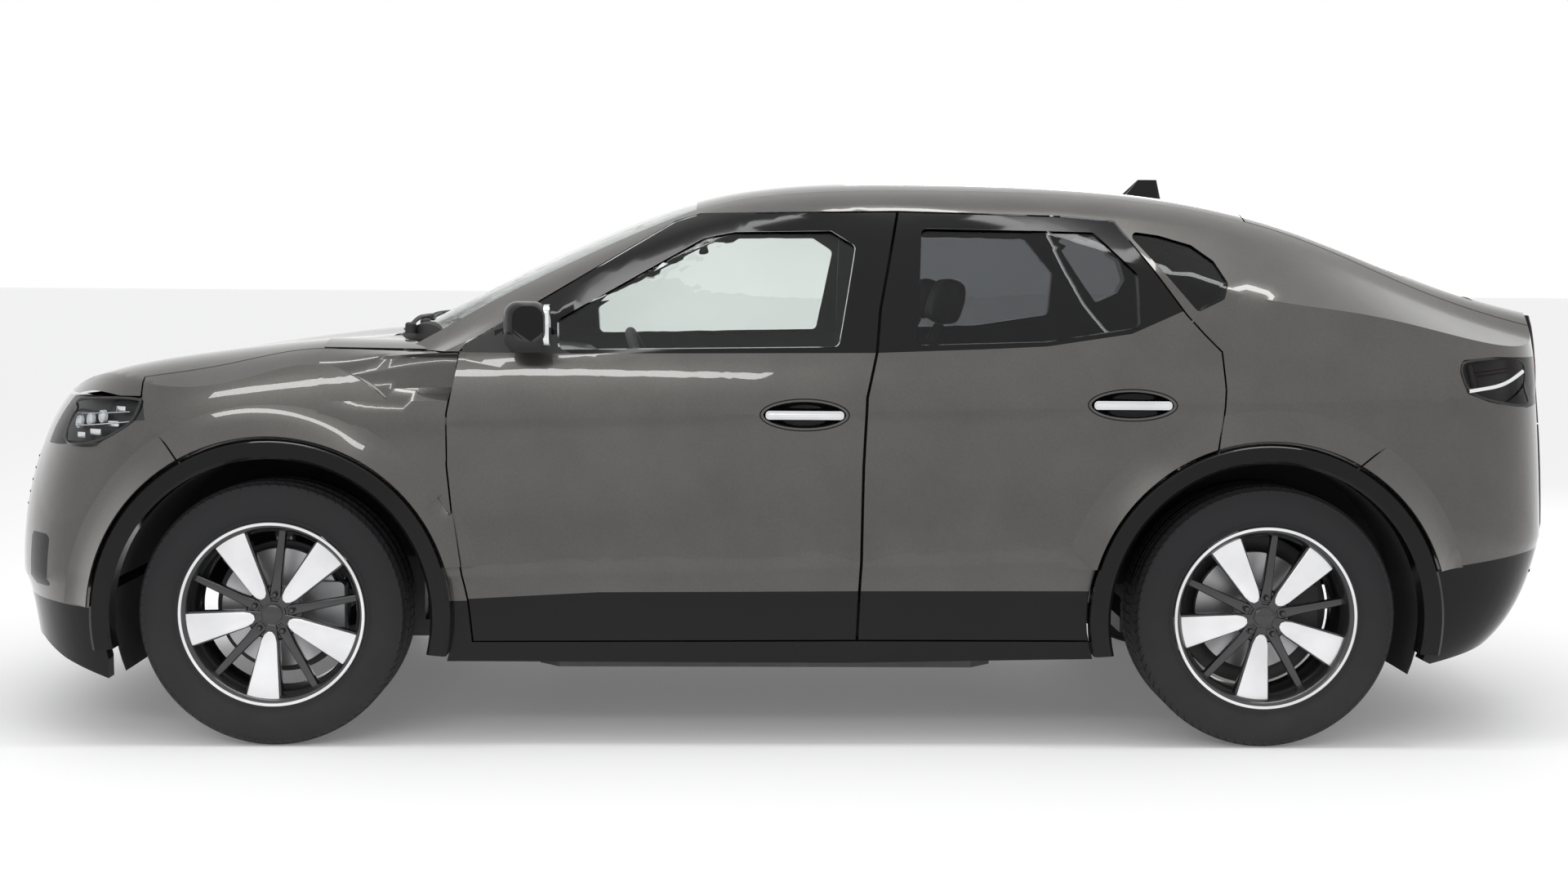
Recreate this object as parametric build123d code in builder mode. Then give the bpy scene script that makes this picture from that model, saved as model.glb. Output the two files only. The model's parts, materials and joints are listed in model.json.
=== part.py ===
from build123d import *
import os
from math import cos, radians, sin

# Five door coupe sport utility vehicle with a battery electric drive.
# Millimetres. The nose points along -X, the left side is -Y and +Z is up.
# The origin is on the ground, at the middle of the length and of the width.

os.makedirs("parts", exist_ok=True)

# Overall sizes
FRONT_OVERHANG = 885
WHEELBASE = 2767
REAR_OVERHANG = 982
LENGTH = FRONT_OVERHANG + WHEELBASE + REAR_OVERHANG
NOSE = -LENGTH / 2
TAIL = LENGTH / 2
F = NOSE + FRONT_OVERHANG
R = F + WHEELBASE
FAR = 1200
TALL = 1750

# Wheels: the rear pair is wider
FRONT_TYRE_RADIUS = 370.5
FRONT_TYRE_WIDTH = 235
FRONT_TRACK = 1588
REAR_TYRE_RADIUS = 368.8
REAR_TYRE_WIDTH = 255
REAR_TRACK = 1566
RIM_RADIUS = 259
RIM_WALL = 11
BEAD_SEAM = 0.05
HUB_RADIUS = 78
DISC_RADIUS = 168
DISC_THICKNESS = 26
AXLE_BORE = 24

# Steering
KINGPIN_Y = 724
KINGPIN_RADIUS = 19

# Towing eye socket
TOW_EYE_Y = 400
TOW_EYE_Z = 515
TOW_EYE_RADIUS = 9
TOW_EYE_HOLE = 22

# Wheel arches
ARCH_RADIUS = 440
ARCH_TRIM_WIDTH = 55
ARCH_TRIM_FACE = 934
ARCH_CENTRE_Z = 365
LINER_WALL = 6
FRONT_WELL_DEPTH = 440
REAR_WELL_DEPTH = 610

# Body skin, shut lines and glass
DOOR_THICKNESS = 80
FRAME_THICKNESS = 45
GLASS_SINK = 8
GLASS_THICKNESS = 5
BONNET_THICKNESS = 30
PANEL_THICKNESS = 40
TAIL_THICKNESS = 50
PANEL_GAP = 5
DOOR_STEP = 18
SEAM = 0.4
BELT_TILT = 1.7

# Doors and lids: hinge lines
DOOR_HINGE_LEAN = 3
FRONT_DOOR_HINGE_X = F + 527
REAR_DOOR_HINGE_X = F + 1697
DOOR_HINGE_Y = 925
DOOR_HINGE_Z = 600

# Body outline in plan, as distances behind the nose or ahead of the tail
# and as shares of the half width at that height.
NOSE_PLAN = [(38, 0.42), (128, 0.70), (255, 0.865), (470, 0.955)]
TAIL_PLAN = [(32, 0.42), (112, 0.70), (225, 0.865), (450, 0.955)]

# Body side at each height: height, half width, nose setback, tail setback.
# Each list is one smooth stretch, and a crease lies between two of them.
LEVELS = [
    [(120, 840, 120, 250), (300, 885, 40, 60), (440, 893, 18, 10), (510, 914, 0, 0)],
    [(510, 914, 0, 0), (700, 906, 14, 8), (930, 918, 88, 30)],
    [(930, 918, 88, 30), (1030, 903, 150, 35), (1110, 880, 230, 45)],
    [(1110, 880, 230, 45), (1300, 800, 420, 70), (1500, 675, 600, 60), (1660, 570, 700, 60)],
]

# Crown of the cabin and of the bonnet at each station along the car:
# place, centre height, rail height, rail half width, fall of the shoulder.
CABIN = [
    (F + 12, 1010, 925, 800, 3.0),
    (F + 202, 1112, 1030, 775, 3.0),
    (F + 459, 1246, 1168, 735, 3.0),
    (F + 739, 1385, 1312, 690, 1.1),
    (F + 1019, 1503, 1440, 640, 0.9),
    (F + 1225, 1561, 1512, 610, 0.9),
    (F + 1448, 1584, 1550, 590, 0.9),
    (R - 947, 1590, 1562, 585, 0.9),
    (R - 499, 1577, 1550, 583, 0.9),
    (R - 200, 1545, 1520, 575, 1.0),
    (R + 102, 1482, 1452, 565, 1.3),
    (R + 494, 1338, 1303, 565, 2.5),
    (R + 716, 1262, 1228, 570, 3.0),
    (TAIL + 30, 1205, 1172, 575, 3.0),
]
BONNET = [
    (NOSE - 30, 760, 700, 700, 1.5),
    (NOSE + 137, 908, 862, 745, 1.5),
    (NOSE + 217, 966, 922, 760, 1.5),
    (NOSE + 317, 1012, 972, 780, 1.5),
    (F - 409, 1053, 1018, 790, 1.5),
    (F - 99, 1096, 1066, 800, 1.5),
    (F + 212, 1122, 1094, 800, 1.5),
    (F + 620, 1135, 1105, 800, 1.5),
]
SHOULDER_WIDTH = 90
SHOULDER_DROP = 60
CROWN_FOOT = 20


def level(height, half, nose, tail, inset):
    """One closed plan outline of the body, on a plane that rises to the rear."""
    n = NOSE + nose + inset
    t = TAIL - tail - inset
    w = half - inset
    front = [(n + back, w * share) for back, share in NOSE_PLAN]
    rear = [(t - ahead, w * share) for ahead, share in reversed(TAIL_PLAN)]
    points = [(n, 0), *front, (F + 280, w * 0.99), (0, w), (R - 430, w), *rear, (t, 0)]
    plane = Plane(origin=(0, 0, height), x_dir=(1, 0, 0), z_dir=(0, 0, 1))
    with BuildSketch(plane.rotated((0, -BELT_TILT, 0))) as outline:
        with BuildLine():
            side = Spline(*points, tangents=[(0, 1), (0, -1)])
            mirror(side, about=Plane.XZ)
        make_face()
    return outline.sketch


def crown(place, centre, rail, half, fall, inset):
    """One section across the car: crowned top, rounded shoulder and skirt."""
    top = centre - inset
    edge = rail - inset
    low = edge - SHOULDER_DROP
    out = half + SHOULDER_WIDTH
    across = Plane(origin=(place, 0, 0), x_dir=(0, 1, 0), z_dir=(1, 0, 0))
    with BuildSketch(across) as outline:
        with BuildLine():
            arc = Spline(
                (0, top),
                (half * 0.55, top - (top - edge) * 0.30),
                (half, edge),
                (out, low),
                tangents=[(1, 0), (fall, -1)],
            )
            Polyline(arc @ 1, (out + fall * (low - CROWN_FOOT), CROWN_FOOT), (0, CROWN_FOOT))
            mirror(about=Plane.YZ)
        make_face()
    return outline.sketch


def sides(inset):
    """The space between the body sides, nose and tail, drawn in by the inset."""
    with BuildPart() as space:
        for stretch in LEVELS:
            loft([level(*row, inset) for row in stretch])
    return space.part


def top(stations, inset):
    """The space under a crown, drawn in by the inset."""
    with BuildPart() as space:
        loft([crown(*station, inset) for station in stations])
    return space.part


def envelope(stations, inset):
    """The space inside the body sides and under a crown."""
    with BuildPart() as space:
        add(sides(inset))
        add(top(stations, inset), mode=Mode.INTERSECT)
    return space.part


def shell(outer, inner):
    """The wall between two envelopes."""
    with BuildPart() as wall:
        add(outer)
        add(inner, mode=Mode.SUBTRACT)
    return wall.part


def side_prism(points, near=0, far=FAR, draw_in=0, corner=0):
    """A side view outline, drawn out across the left half of the car."""
    with BuildPart() as prism:
        with BuildSketch(Plane.XZ.offset(near)) as outline:
            with BuildLine():
                Polyline(*points, close=True)
            make_face()
            if draw_in:
                offset(amount=-draw_in, kind=Kind.INTERSECTION, mode=Mode.REPLACE)
            if corner:
                fillet(outline.vertices(), corner)
        extrude(amount=far - near)
    return prism.part


def plan_prism(points, low=0, high=TALL):
    """A plan outline, the same on both sides of the car, drawn upwards."""
    with BuildPart() as prism:
        with BuildSketch(Plane.XY.offset(low)):
            with BuildLine():
                Polyline(*points)
                mirror(about=Plane.XZ)
            make_face()
        extrude(amount=high - low)
    return prism.part


def wheel_drum(x, radius, near, far):
    """A cylinder across the left side about an arch centre."""
    with BuildPart() as drum:
        with BuildSketch(Plane.XZ.offset(near)):
            with Locations((x, ARCH_CENTRE_Z)):
                Circle(radius)
        extrude(amount=far - near)
    return drum.part


def save(builder, name):
    builder.part.label = name
    export_step(builder.part, f"parts/{name}.step")


# Spaces that the body walls lie between
cabin_skin = envelope(CABIN, 0)
glass_outer = envelope(CABIN, GLASS_SINK)
glass_inner = envelope(CABIN, GLASS_SINK + GLASS_THICKNESS)
frame_inner = envelope(CABIN, FRAME_THICKNESS)
door_inner = envelope(CABIN, DOOR_THICKNESS)
front_skin = envelope(BONNET, 0)
front_inner = sides(PANEL_THICKNESS)
bonnet_inner = top(BONNET, BONNET_THICKNESS)

flange_wall = shell(cabin_skin, glass_outer)
frame_wall = shell(cabin_skin, frame_inner)
door_wall = shell(cabin_skin, door_inner)
glass_wall = shell(glass_outer, glass_inner)

# Side view outlines, as distances behind the front axle F or from the rear axle R
FRONT_DOOR = [
    (F + 536, 1118), (F + 1109, 1466), (F + 1177, 1487), (F + 1735, 1497), (F + 1678, 1222),
    (F + 1667, 1104), (F + 1640, 982), (F + 1632, 792), (F + 1628, 530), (F + 1619, 302),
    (F + 553, 294), (F + 541, 410), (F + 503, 611), (F + 486, 785), (F + 487, 931), (F + 518, 1095),
]
B_GAP = 8
REAR_DOOR = [
    (F + 1735 + B_GAP, 1497), (R - 559, 1486), (R - 410, 1474), (R - 235, 1214), (R - 189, 1161),
    (R - 142, 1112), (R - 133, 1008), (R - 141, 874), (R - 156, 823), (R - 156, 302),
    (F + 1619 + B_GAP, 302), (F + 1628 + B_GAP, 530), (F + 1632 + B_GAP, 792),
    (F + 1640 + B_GAP, 982), (F + 1667 + B_GAP, 1104), (F + 1678 + B_GAP, 1222),
]
BELT = [(F + 400, 1099), (F + 827, 1097), (F + 1665, 1104), (R - 796, 1116), (R - 622, 1125),
        (R - 387, 1161), (R + 0, 1330)]
DOOR_SILL = [(F + 400, 405), (F + 900, 434), (F + 1619, 440), (R - 300, 442)]
FRONT_WINDOW = [
    (F + 785, 1189), (F + 1189, 1421), (F + 1276, 1438), (F + 1549, 1443), (F + 1618, 1400),
    (F + 1566, 1119), (F + 789, 1107),
]
REAR_WINDOW = [
    (F + 1805, 1452), (R - 473, 1445), (R - 360, 1325), (R - 362, 1178), (R - 622, 1137),
    (F + 1782, 1125),
]
QUARTER_WINDOW = [
    (R - 380, 1450), (R - 285, 1437), (R - 193, 1410), (R - 136, 1365), (R - 107, 1303),
    (R - 124, 1258), (R - 200, 1222),
]


def band(upper, lower):
    """Closed outline between an upper and a lower line."""
    return [*upper, *reversed(lower)]


ABOVE_BELT = band([(F + 400, TALL), (R + 0, TALL)], BELT)
PAINTED = band(BELT, DOOR_SILL + [(R + 0, 442)])
BELOW_SILL = band(DOOR_SILL + [(R + 0, 442)], [(F + 400, 100), (R + 0, 100)])


def door_blank(outline, wall, arch=0):
    """A door's full outline in one wall, cleared round the wheel arch."""
    with BuildPart() as blank:
        add(wall)
        add(side_prism(outline, 300), mode=Mode.INTERSECT)
        if arch:
            add(wheel_drum(R, arch, 300, FAR), mode=Mode.SUBTRACT)
    return blank.part


def door_layers(outline, arch):
    """Outer flange, window frame wall and door wall: the inner ones are stepped in."""
    rim = ARCH_RADIUS + ARCH_TRIM_WIDTH + PANEL_GAP if arch else 0
    step = rim + DOOR_STEP if arch else 0
    flange = door_blank(outline, flange_wall, rim)
    with BuildPart() as frame:
        add(frame_wall)
        add(side_prism(outline, 300, draw_in=DOOR_STEP), mode=Mode.INTERSECT)
        if arch:
            add(wheel_drum(R, step, 300, FAR), mode=Mode.SUBTRACT)
    with BuildPart() as thick:
        add(door_wall)
        add(side_prism(outline, 300, draw_in=DOOR_STEP), mode=Mode.INTERSECT)
        if arch:
            add(wheel_drum(R, step, 300, FAR), mode=Mode.SUBTRACT)
    return flange, frame.part, thick.part


def door_region(flange, inner, region):
    """The part of a stepped door inside one region of the side view."""
    with BuildPart() as piece:
        add(flange)
        add(inner)
        add(side_prism(region, 300), mode=Mode.INTERSECT)
    return piece.part


def glass_pane(outline, corner):
    """A window pane that fills its opening but for a thin seam."""
    with BuildPart() as pane:
        add(glass_wall)
        add(side_prism(outline, 300, draw_in=SEAM, corner=corner), mode=Mode.INTERSECT)
    return pane.part


# Plan outline of the strip that the windscreen, roof and tailgate share
STRIP = [
    (F - 100, 0), (F + 172, 790), (F + 459, 745), (F + 1159, 600), (F + 1332, 585),
    (R - 135, 575), (R + 65, 568), (R + 500, 585), (TAIL + 60, 600), (TAIL + 60, 0),
]
strip = plan_prism(STRIP, 700)
strip_inside = plan_prism([(x, max(0, y - SEAM)) for x, y in STRIP], 700)
strip_cleared = plan_prism([STRIP[0], *[(x, y + PANEL_GAP) for x, y in STRIP[1:-1]], STRIP[-1]], 700)
lid_strip = plan_prism([(x, max(0, y - PANEL_GAP)) for x, y in STRIP], 700)

# Doors
front_flange, front_frame, front_thick = door_layers(FRONT_DOOR, False)
rear_flange, rear_frame, rear_thick = door_layers(REAR_DOOR, True)
HANDLE_SIZE = (240, 84)
HANDLE_DEPTH = 22
FRONT_HANDLE = (F + 1471, 933)
REAR_HANDLE = (R - 389, 965)


def handle_pocket(place):
    """The oval recess for the fingers behind a door handle."""
    with BuildPart() as pocket:
        with BuildSketch(Plane.XZ.offset(890)):
            with Locations(place):
                Ellipse(HANDLE_SIZE[0] / 2, HANDLE_SIZE[1] / 2)
        extrude(amount=60, taper=12)
    return pocket.part


with BuildPart() as front_door_panel:
    add(door_region(front_flange, front_thick, PAINTED))
    add(handle_pocket(FRONT_HANDLE), mode=Mode.SUBTRACT)

with BuildPart() as rear_door_panel:
    add(door_region(rear_flange, rear_thick, PAINTED))
    add(handle_pocket(REAR_HANDLE), mode=Mode.SUBTRACT)

with BuildPart() as front_door_frame:
    add(door_region(front_flange, front_frame, ABOVE_BELT))
    add(side_prism(FRONT_WINDOW, 300, corner=18), mode=Mode.SUBTRACT)
    add(strip_cleared, mode=Mode.SUBTRACT)
    add(door_region(front_flange, front_thick, BELOW_SILL))

with BuildPart() as rear_door_frame:
    add(door_region(rear_flange, rear_frame, ABOVE_BELT))
    add(side_prism(REAR_WINDOW, 300, corner=18), mode=Mode.SUBTRACT)
    add(door_region(rear_flange, rear_thick, BELOW_SILL))

front_door_glass = glass_pane(FRONT_WINDOW, 18)
rear_door_glass = glass_pane(REAR_WINDOW, 18)
quarter_pane = glass_pane(QUARTER_WINDOW, 14)

# Door handles: a bar that stands across the recess on two feet
HANDLE_BAR = 15


def door_handle(place, skin_y):
    with BuildPart() as handle:
        with BuildSketch(Plane.XZ.offset(skin_y - 6)) as bar:
            with Locations(place):
                RectangleRounded(HANDLE_SIZE[0] - 24, HANDLE_BAR * 1.6, HANDLE_BAR * 0.7)
        extrude(amount=HANDLE_BAR)
        with BuildSketch(Plane.XZ.offset(skin_y - 40)):
            with Locations((place[0] - 88, place[1]), (place[0] + 88, place[1])):
                RectangleRounded(26, HANDLE_BAR, 5)
        extrude(amount=36)
    return handle.part


# Mirror on the front door: foot, arm and housing
MIRROR_X = F + 712
MIRROR_Z = 1178

with BuildPart() as mirror_left:
    with BuildSketch(Plane.XZ.offset(872)):
        with Locations((F + 700, 1113)):
            RectangleRounded(86, 26, 8)
    with BuildSketch(Plane.XZ.offset(925)):
        with Locations((F + 706, 1128)):
            RectangleRounded(70, 24, 8)
    loft()
    with BuildSketch(Plane.XZ.offset(915)):
        with Locations((MIRROR_X + 4, MIRROR_Z - 12)):
            RectangleRounded(100, 122, 30)
    with BuildSketch(Plane.XZ.offset(975)):
        with Locations((MIRROR_X, MIRROR_Z - 4)):
            RectangleRounded(122, 136, 40)
    with BuildSketch(Plane.XZ.offset(1029)):
        with Locations((MIRROR_X + 10, MIRROR_Z + 4)):
            RectangleRounded(84, 96, 34)
    loft()

FRONT_HANDLE_SKIN = 920
REAR_HANDLE_SKIN = 917
with BuildPart() as front_handle:
    add(door_handle(FRONT_HANDLE, FRONT_HANDLE_SKIN))
    add(front_door_panel.part, mode=Mode.SUBTRACT)
with BuildPart() as rear_handle:
    add(door_handle(REAR_HANDLE, REAR_HANDLE_SKIN))
    add(rear_door_panel.part, mode=Mode.SUBTRACT)
with BuildPart() as front_door_trim:
    add(front_door_frame.part)
    add(mirror_left.part)
    add(front_handle.part)
with BuildPart() as rear_door_trim:
    add(rear_door_frame.part)
    add(rear_handle.part)

door_pieces = {
    "front_door_panel": front_door_panel.part,
    "front_door_trim": front_door_trim.part,
    "front_door_glass": front_door_glass,
    "rear_door_panel": rear_door_panel.part,
    "rear_door_trim": rear_door_trim.part,
    "rear_door_glass": rear_door_glass,
}
for name, piece in door_pieces.items():
    with BuildPart() as left_piece:
        add(piece)
    save(left_piece, f"{name}_left")
    with BuildPart() as right_piece:
        mirror(piece, about=Plane.XZ)
    save(right_piece, f"{name}_right")

HEADER_X = F + 1165
ROOF_REAR_X = R - 8
TAILGATE_LOW_Z = 885
BACKLIGHT_TOP_X = R + 95
BACKLIGHT_LOW_X = R + 690

# Body side: front pillar, roof rail and quarter panel in one piece
BODY_SIDE = [
    (F + 372, TALL), (F + 372, 1101), (F + 527, 1101), (F + 582, 700), (R - 35, 700),
    (R + 247, 800), (R + 337, 858), (R + 518, 999), (R + 540, 1056), (R + 543, 1079),
    (R + 553, 1093), (R + 655, 1101), (R + 765, 1098), (TAIL + 60, 1092), (TAIL + 60, TALL),
]
TAIL_LAMP = [
    (R + 543, 1079), (R + 553, 1093), (R + 655, 1101), (R + 765, 1098), (TAIL + 60, 1092),
    (TAIL + 60, 985), (R + 775, 955), (R + 632, 975), (R + 563, 999), (R + 540, 1056),
]
REAR_BUMPER = [
    (R + 200, 502), (R + 200, 783), (R + 247, 800), (R + 337, 858), (R + 518, 999), (R + 563, 999),
    (R + 632, 975), (R + 775, 955), (TAIL + 60, 985), (TAIL + 60, 560), (R + 773, 538), (R + 491, 502),
]
REAR_BUMPER_LOW = [
    (R + 420, 262), (R + 506, 219), (R + 643, 247), (R + 741, 268), (R + 790, 319),
    (R + 836, 389), (TAIL + 60, 400), (TAIL + 60, 560), (R + 773, 538), (R + 491, 502), (R + 420, 500),
]
trim_radius = ARCH_RADIUS + ARCH_TRIM_WIDTH
rear_arch_cut = wheel_drum(R, trim_radius + SEAM, 300, FAR)
front_arch_cut = wheel_drum(F, trim_radius + SEAM, 300, FAR)

with BuildPart() as body_side_left:
    add(door_wall)
    add(side_prism(BODY_SIDE, 300), mode=Mode.INTERSECT)
    add(strip, mode=Mode.SUBTRACT)
    add(side_prism(FRONT_DOOR, 300, draw_in=-PANEL_GAP), mode=Mode.SUBTRACT)
    add(side_prism(REAR_DOOR, 300, draw_in=-PANEL_GAP), mode=Mode.SUBTRACT)
    add(side_prism(QUARTER_WINDOW, 300, corner=14), mode=Mode.SUBTRACT)
    add(rear_arch_cut, mode=Mode.SUBTRACT)
save(body_side_left, "body_side_left")
with BuildPart() as body_side_right:
    mirror(body_side_left.part, about=Plane.XZ)
save(body_side_right, "body_side_right")

with BuildPart() as quarter_glass:
    add(quarter_pane)
    mirror(quarter_pane, about=Plane.XZ)
save(quarter_glass, "quarter_glass")


def cross_slab(x0, x1, half, z0=0, z1=TALL):
    """A plain block across the car, used to bound a panel."""
    with BuildPart() as slab:
        with BuildSketch(Plane.XY.offset(z0)):
            with Locations(((x0 + x1) / 2, 0)):
                Rectangle(x1 - x0, 2 * half)
        extrude(amount=z1 - z0)
    return slab.part


# Roof between the rails, from the windscreen header to the tailgate
with BuildPart() as roof_panel:
    add(frame_wall)
    add(cross_slab(HEADER_X, ROOF_REAR_X, FAR, 1300), mode=Mode.INTERSECT)
    add(strip_inside, mode=Mode.INTERSECT)
save(roof_panel, "roof_panel")

# Windscreen between a curved lower edge and the header
SCREEN_LOW = [(F + 237, 0), (F + 270, 300), (F + 350, 560), (F + 452, 738)]
with BuildPart() as screen_area:
    with BuildSketch(Plane.XY.offset(900)):
        with BuildLine():
            low = Spline(*SCREEN_LOW, tangents=[(0, 1), (0.5, 1)])
            Polyline(low @ 1, (HEADER_X - SEAM, 738), (HEADER_X - SEAM, 0))
            mirror(about=Plane.XZ)
        make_face()
    extrude(amount=900)
with BuildPart() as windscreen:
    add(glass_wall)
    add(screen_area.part, mode=Mode.INTERSECT)
    add(strip_inside, mode=Mode.INTERSECT)
save(windscreen, "windscreen")

# Bonnet: its rear edge bows forward round the foot of the windscreen
BONNET_REAR_X = F + 427
BONNET_REAR_BOW = 220
BONNET_HALF = 795
BONNET_FRONT_Z = 962
FENDER_FRONT_X = F - 363
BONNET_LINE = [
    (NOSE - 60, BONNET_FRONT_Z), (FENDER_FRONT_X - PANEL_GAP, 971), (FENDER_FRONT_X, 985),
    (BONNET_REAR_X + 20, 1000), (BONNET_REAR_X + 20, TALL), (NOSE - 60, TALL),
]
with BuildPart() as bonnet_area:
    with BuildSketch(Plane.XY.offset(800)):
        with BuildLine():
            Polyline(
                (NOSE - 60, 0), (NOSE - 60, 1000), (FENDER_FRONT_X - PANEL_GAP, 1000),
                (FENDER_FRONT_X - PANEL_GAP, BONNET_HALF), (BONNET_REAR_X, BONNET_HALF),
            )
            ThreePointArc(
                (BONNET_REAR_X, BONNET_HALF),
                (BONNET_REAR_X - BONNET_REAR_BOW, 0),
                (BONNET_REAR_X, -BONNET_HALF),
            )
            Polyline(
                (NOSE - 60, 0), (NOSE - 60, -1000), (FENDER_FRONT_X - PANEL_GAP, -1000),
                (FENDER_FRONT_X - PANEL_GAP, -BONNET_HALF), (BONNET_REAR_X, -BONNET_HALF),
            )
        make_face()
    extrude(amount=900)
with BuildPart() as bonnet_height:
    with BuildSketch(Plane.XZ):
        with BuildLine():
            Polyline(*BONNET_LINE, close=True)
        make_face()
    extrude(amount=FAR, both=True)
with BuildPart() as bonnet:
    add(front_skin)
    add(bonnet_height.part, mode=Mode.INTERSECT)
    add(bonnet_inner, mode=Mode.SUBTRACT)
    add(bonnet_area.part, mode=Mode.INTERSECT)
save(bonnet, "bonnet")

# Cowl between the bonnet and the windscreen
with BuildPart() as cowl_area:
    with BuildSketch(Plane.XY.offset(800)):
        with BuildLine():
            low = Spline(*SCREEN_LOW, tangents=[(0, 1), (0.5, 1)])
            mirror(low, about=Plane.XZ)
            side_in = Line(low @ 1, (BONNET_REAR_X + 30, 755))
            mirror(side_in, about=Plane.XZ)
            ThreePointArc(
                (BONNET_REAR_X + 30, 755),
                (BONNET_REAR_X - BONNET_REAR_BOW + PANEL_GAP + 2, 0),
                (BONNET_REAR_X + 30, -755),
            )
        make_face()
    extrude(amount=900)
with BuildPart() as cowl_panel:
    add(frame_wall)
    add(cowl_area.part, mode=Mode.INTERSECT)
    add(strip_inside, mode=Mode.INTERSECT)
    add(cross_slab(F, R, FAR, 950), mode=Mode.INTERSECT)
save(cowl_panel, "cowl_panel")

# Nose: bumper, grille panel, lamps and fenders
HEADLAMP_HALF = 640
HEADLAMP = [
    (NOSE - 60, 957), (F - 547, 961), (F - 368, 966), (F - 379, 902), (F - 486, 840),
    (F - 640, 826), (NOSE - 60, 822),
]
FRONT_BUMPER = [
    (NOSE - 60, 957), (F - 390, 961), (F - 390, 902), (F - 350, 905), (F - 244, 798),
    (F - 244, 600), (F - 300, 371), (F - 475, 369), (F - 667, 382), (NOSE - 60, 384),
]
FRONT_BUMPER_LOW = [
    (NOSE - 60, 384), (F - 667, 382), (F - 475, 369), (F - 475, 300), (F - 480, 172),
    (F - 627, 217), (F - 724, 257), (NOSE - 60, 262),
]
FENDER = [
    (FENDER_FRONT_X, TALL), (FENDER_FRONT_X, 977), (F - 350, 905), (F - 244, 798), (F - 244, 600),
    (F + 400, 405), (F + 536, 408), (F + 498, 611), (F + 481, 785), (F + 482, 931), (F + 513, 1100),
    (F + 372, 1100), (F + 372, TALL),
]
FENDER_LOW = [
    (F + 400, 405), (F + 536, 408), (F + 548, 290), (F + 400, 290),
]
FENDER_TOP_HALF = BONNET_HALF + PANEL_GAP
GRILLE_HALF = 560
GRILLE_Z = (600, 800)

with BuildPart() as grille_area:
    with BuildSketch(Plane.YZ.offset(NOSE - 60)) as grille_front:
        with Locations((0, (GRILLE_Z[0] + GRILLE_Z[1]) / 2)):
            Trapezoid(2 * GRILLE_HALF, GRILLE_Z[1] - GRILLE_Z[0], 80)
        fillet(grille_front.vertices(), 30)
    extrude(amount=420)
with BuildPart() as side_intake:
    with BuildSketch(Plane.YZ.offset(NOSE - 60)) as intake_front:
        with Locations((-715, 499)):
            RectangleRounded(96, 150, 20)
        with Locations((715, 499)):
            RectangleRounded(96, 150, 20)
    extrude(amount=520)


def nose_piece(outline, low_half=0):
    """The nose skin inside one outline: its side wall and the layer under its crown."""
    with BuildPart() as block:
        add(front_skin)
        add(side_prism(outline, low_half), mode=Mode.INTERSECT)
    with BuildPart() as wall:
        add(block.part)
        add(front_inner, mode=Mode.SUBTRACT)
    with BuildPart() as crown_layer:
        add(block.part)
        add(bonnet_inner, mode=Mode.SUBTRACT)
    with BuildPart() as piece:
        add(wall.part)
        add(crown_layer.part)
    return piece.part


headlamp_left = nose_piece(HEADLAMP, HEADLAMP_HALF)
bumper_left = nose_piece(FRONT_BUMPER)
bumper_low_left = nose_piece(FRONT_BUMPER_LOW)

with BuildPart() as nose_skin:
    add(bumper_left)
    add(side_prism(HEADLAMP, HEADLAMP_HALF - SEAM, draw_in=-SEAM), mode=Mode.SUBTRACT)
    add(front_arch_cut, mode=Mode.SUBTRACT)
    mirror(about=Plane.XZ)
with BuildPart() as grille_panel:
    add(nose_skin.part)
    add(grille_area.part, mode=Mode.INTERSECT)
with BuildPart() as side_intakes:
    add(nose_skin.part)
    add(side_intake.part, mode=Mode.INTERSECT)
with BuildPart() as front_bumper:
    add(nose_skin.part)
    add(grille_area.part, mode=Mode.SUBTRACT)
    add(side_intake.part, mode=Mode.SUBTRACT)
    with BuildSketch(Plane.YZ.offset(NOSE - 60)):
        with Locations((TOW_EYE_Y, TOW_EYE_Z)):
            Circle(TOW_EYE_HOLE)
    extrude(amount=200, mode=Mode.SUBTRACT)
save(front_bumper, "front_bumper")
with BuildPart() as grille_panels:
    add(grille_panel.part)
    add(side_intakes.part)
save(grille_panels, "grille_panels")
with BuildPart() as front_bumper_low:
    add(bumper_low_left)
    add(front_arch_cut, mode=Mode.SUBTRACT)
    mirror(about=Plane.XZ)
save(front_bumper_low, "front_bumper_low")
with BuildPart() as headlamps:
    add(headlamp_left)
    mirror(about=Plane.XZ)
save(headlamps, "headlamps")

with BuildPart() as fender_left:
    add(nose_piece(FENDER, FENDER_TOP_HALF))
    add(front_arch_cut, mode=Mode.SUBTRACT)
save(fender_left, "front_fender_left")
with BuildPart() as fender_right:
    mirror(fender_left.part, about=Plane.XZ)
save(fender_right, "front_fender_right")

# Tail: tailgate with a cut window, bumper and lamps
TAILGATE_PLAN = [(ROOF_REAR_X + PANEL_GAP, 0), (ROOF_REAR_X + PANEL_GAP, FAR), (TAIL + 60, FAR), (TAIL + 60, 0)]
BACKLIGHT = [
    (BACKLIGHT_TOP_X, 0), (BACKLIGHT_TOP_X, 500), (BACKLIGHT_LOW_X, 525), (BACKLIGHT_LOW_X, 0),
]
LIGHT_BAR_Z = (1010, 1078)
LIGHT_BAR_DEPTH = 22
with BuildPart() as tailgate_lift:
    with BuildSketch(Plane.XZ):
        with BuildLine():
            Polyline(
                (ROOF_REAR_X - 50, 1100), (R + 500, 1100), (R + 640, TAILGATE_LOW_Z),
                (TAIL + 60, TAILGATE_LOW_Z), (TAIL + 60, TALL), (ROOF_REAR_X - 50, TALL), close=True,
            )
        make_face()
    extrude(amount=FAR, both=True)
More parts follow.
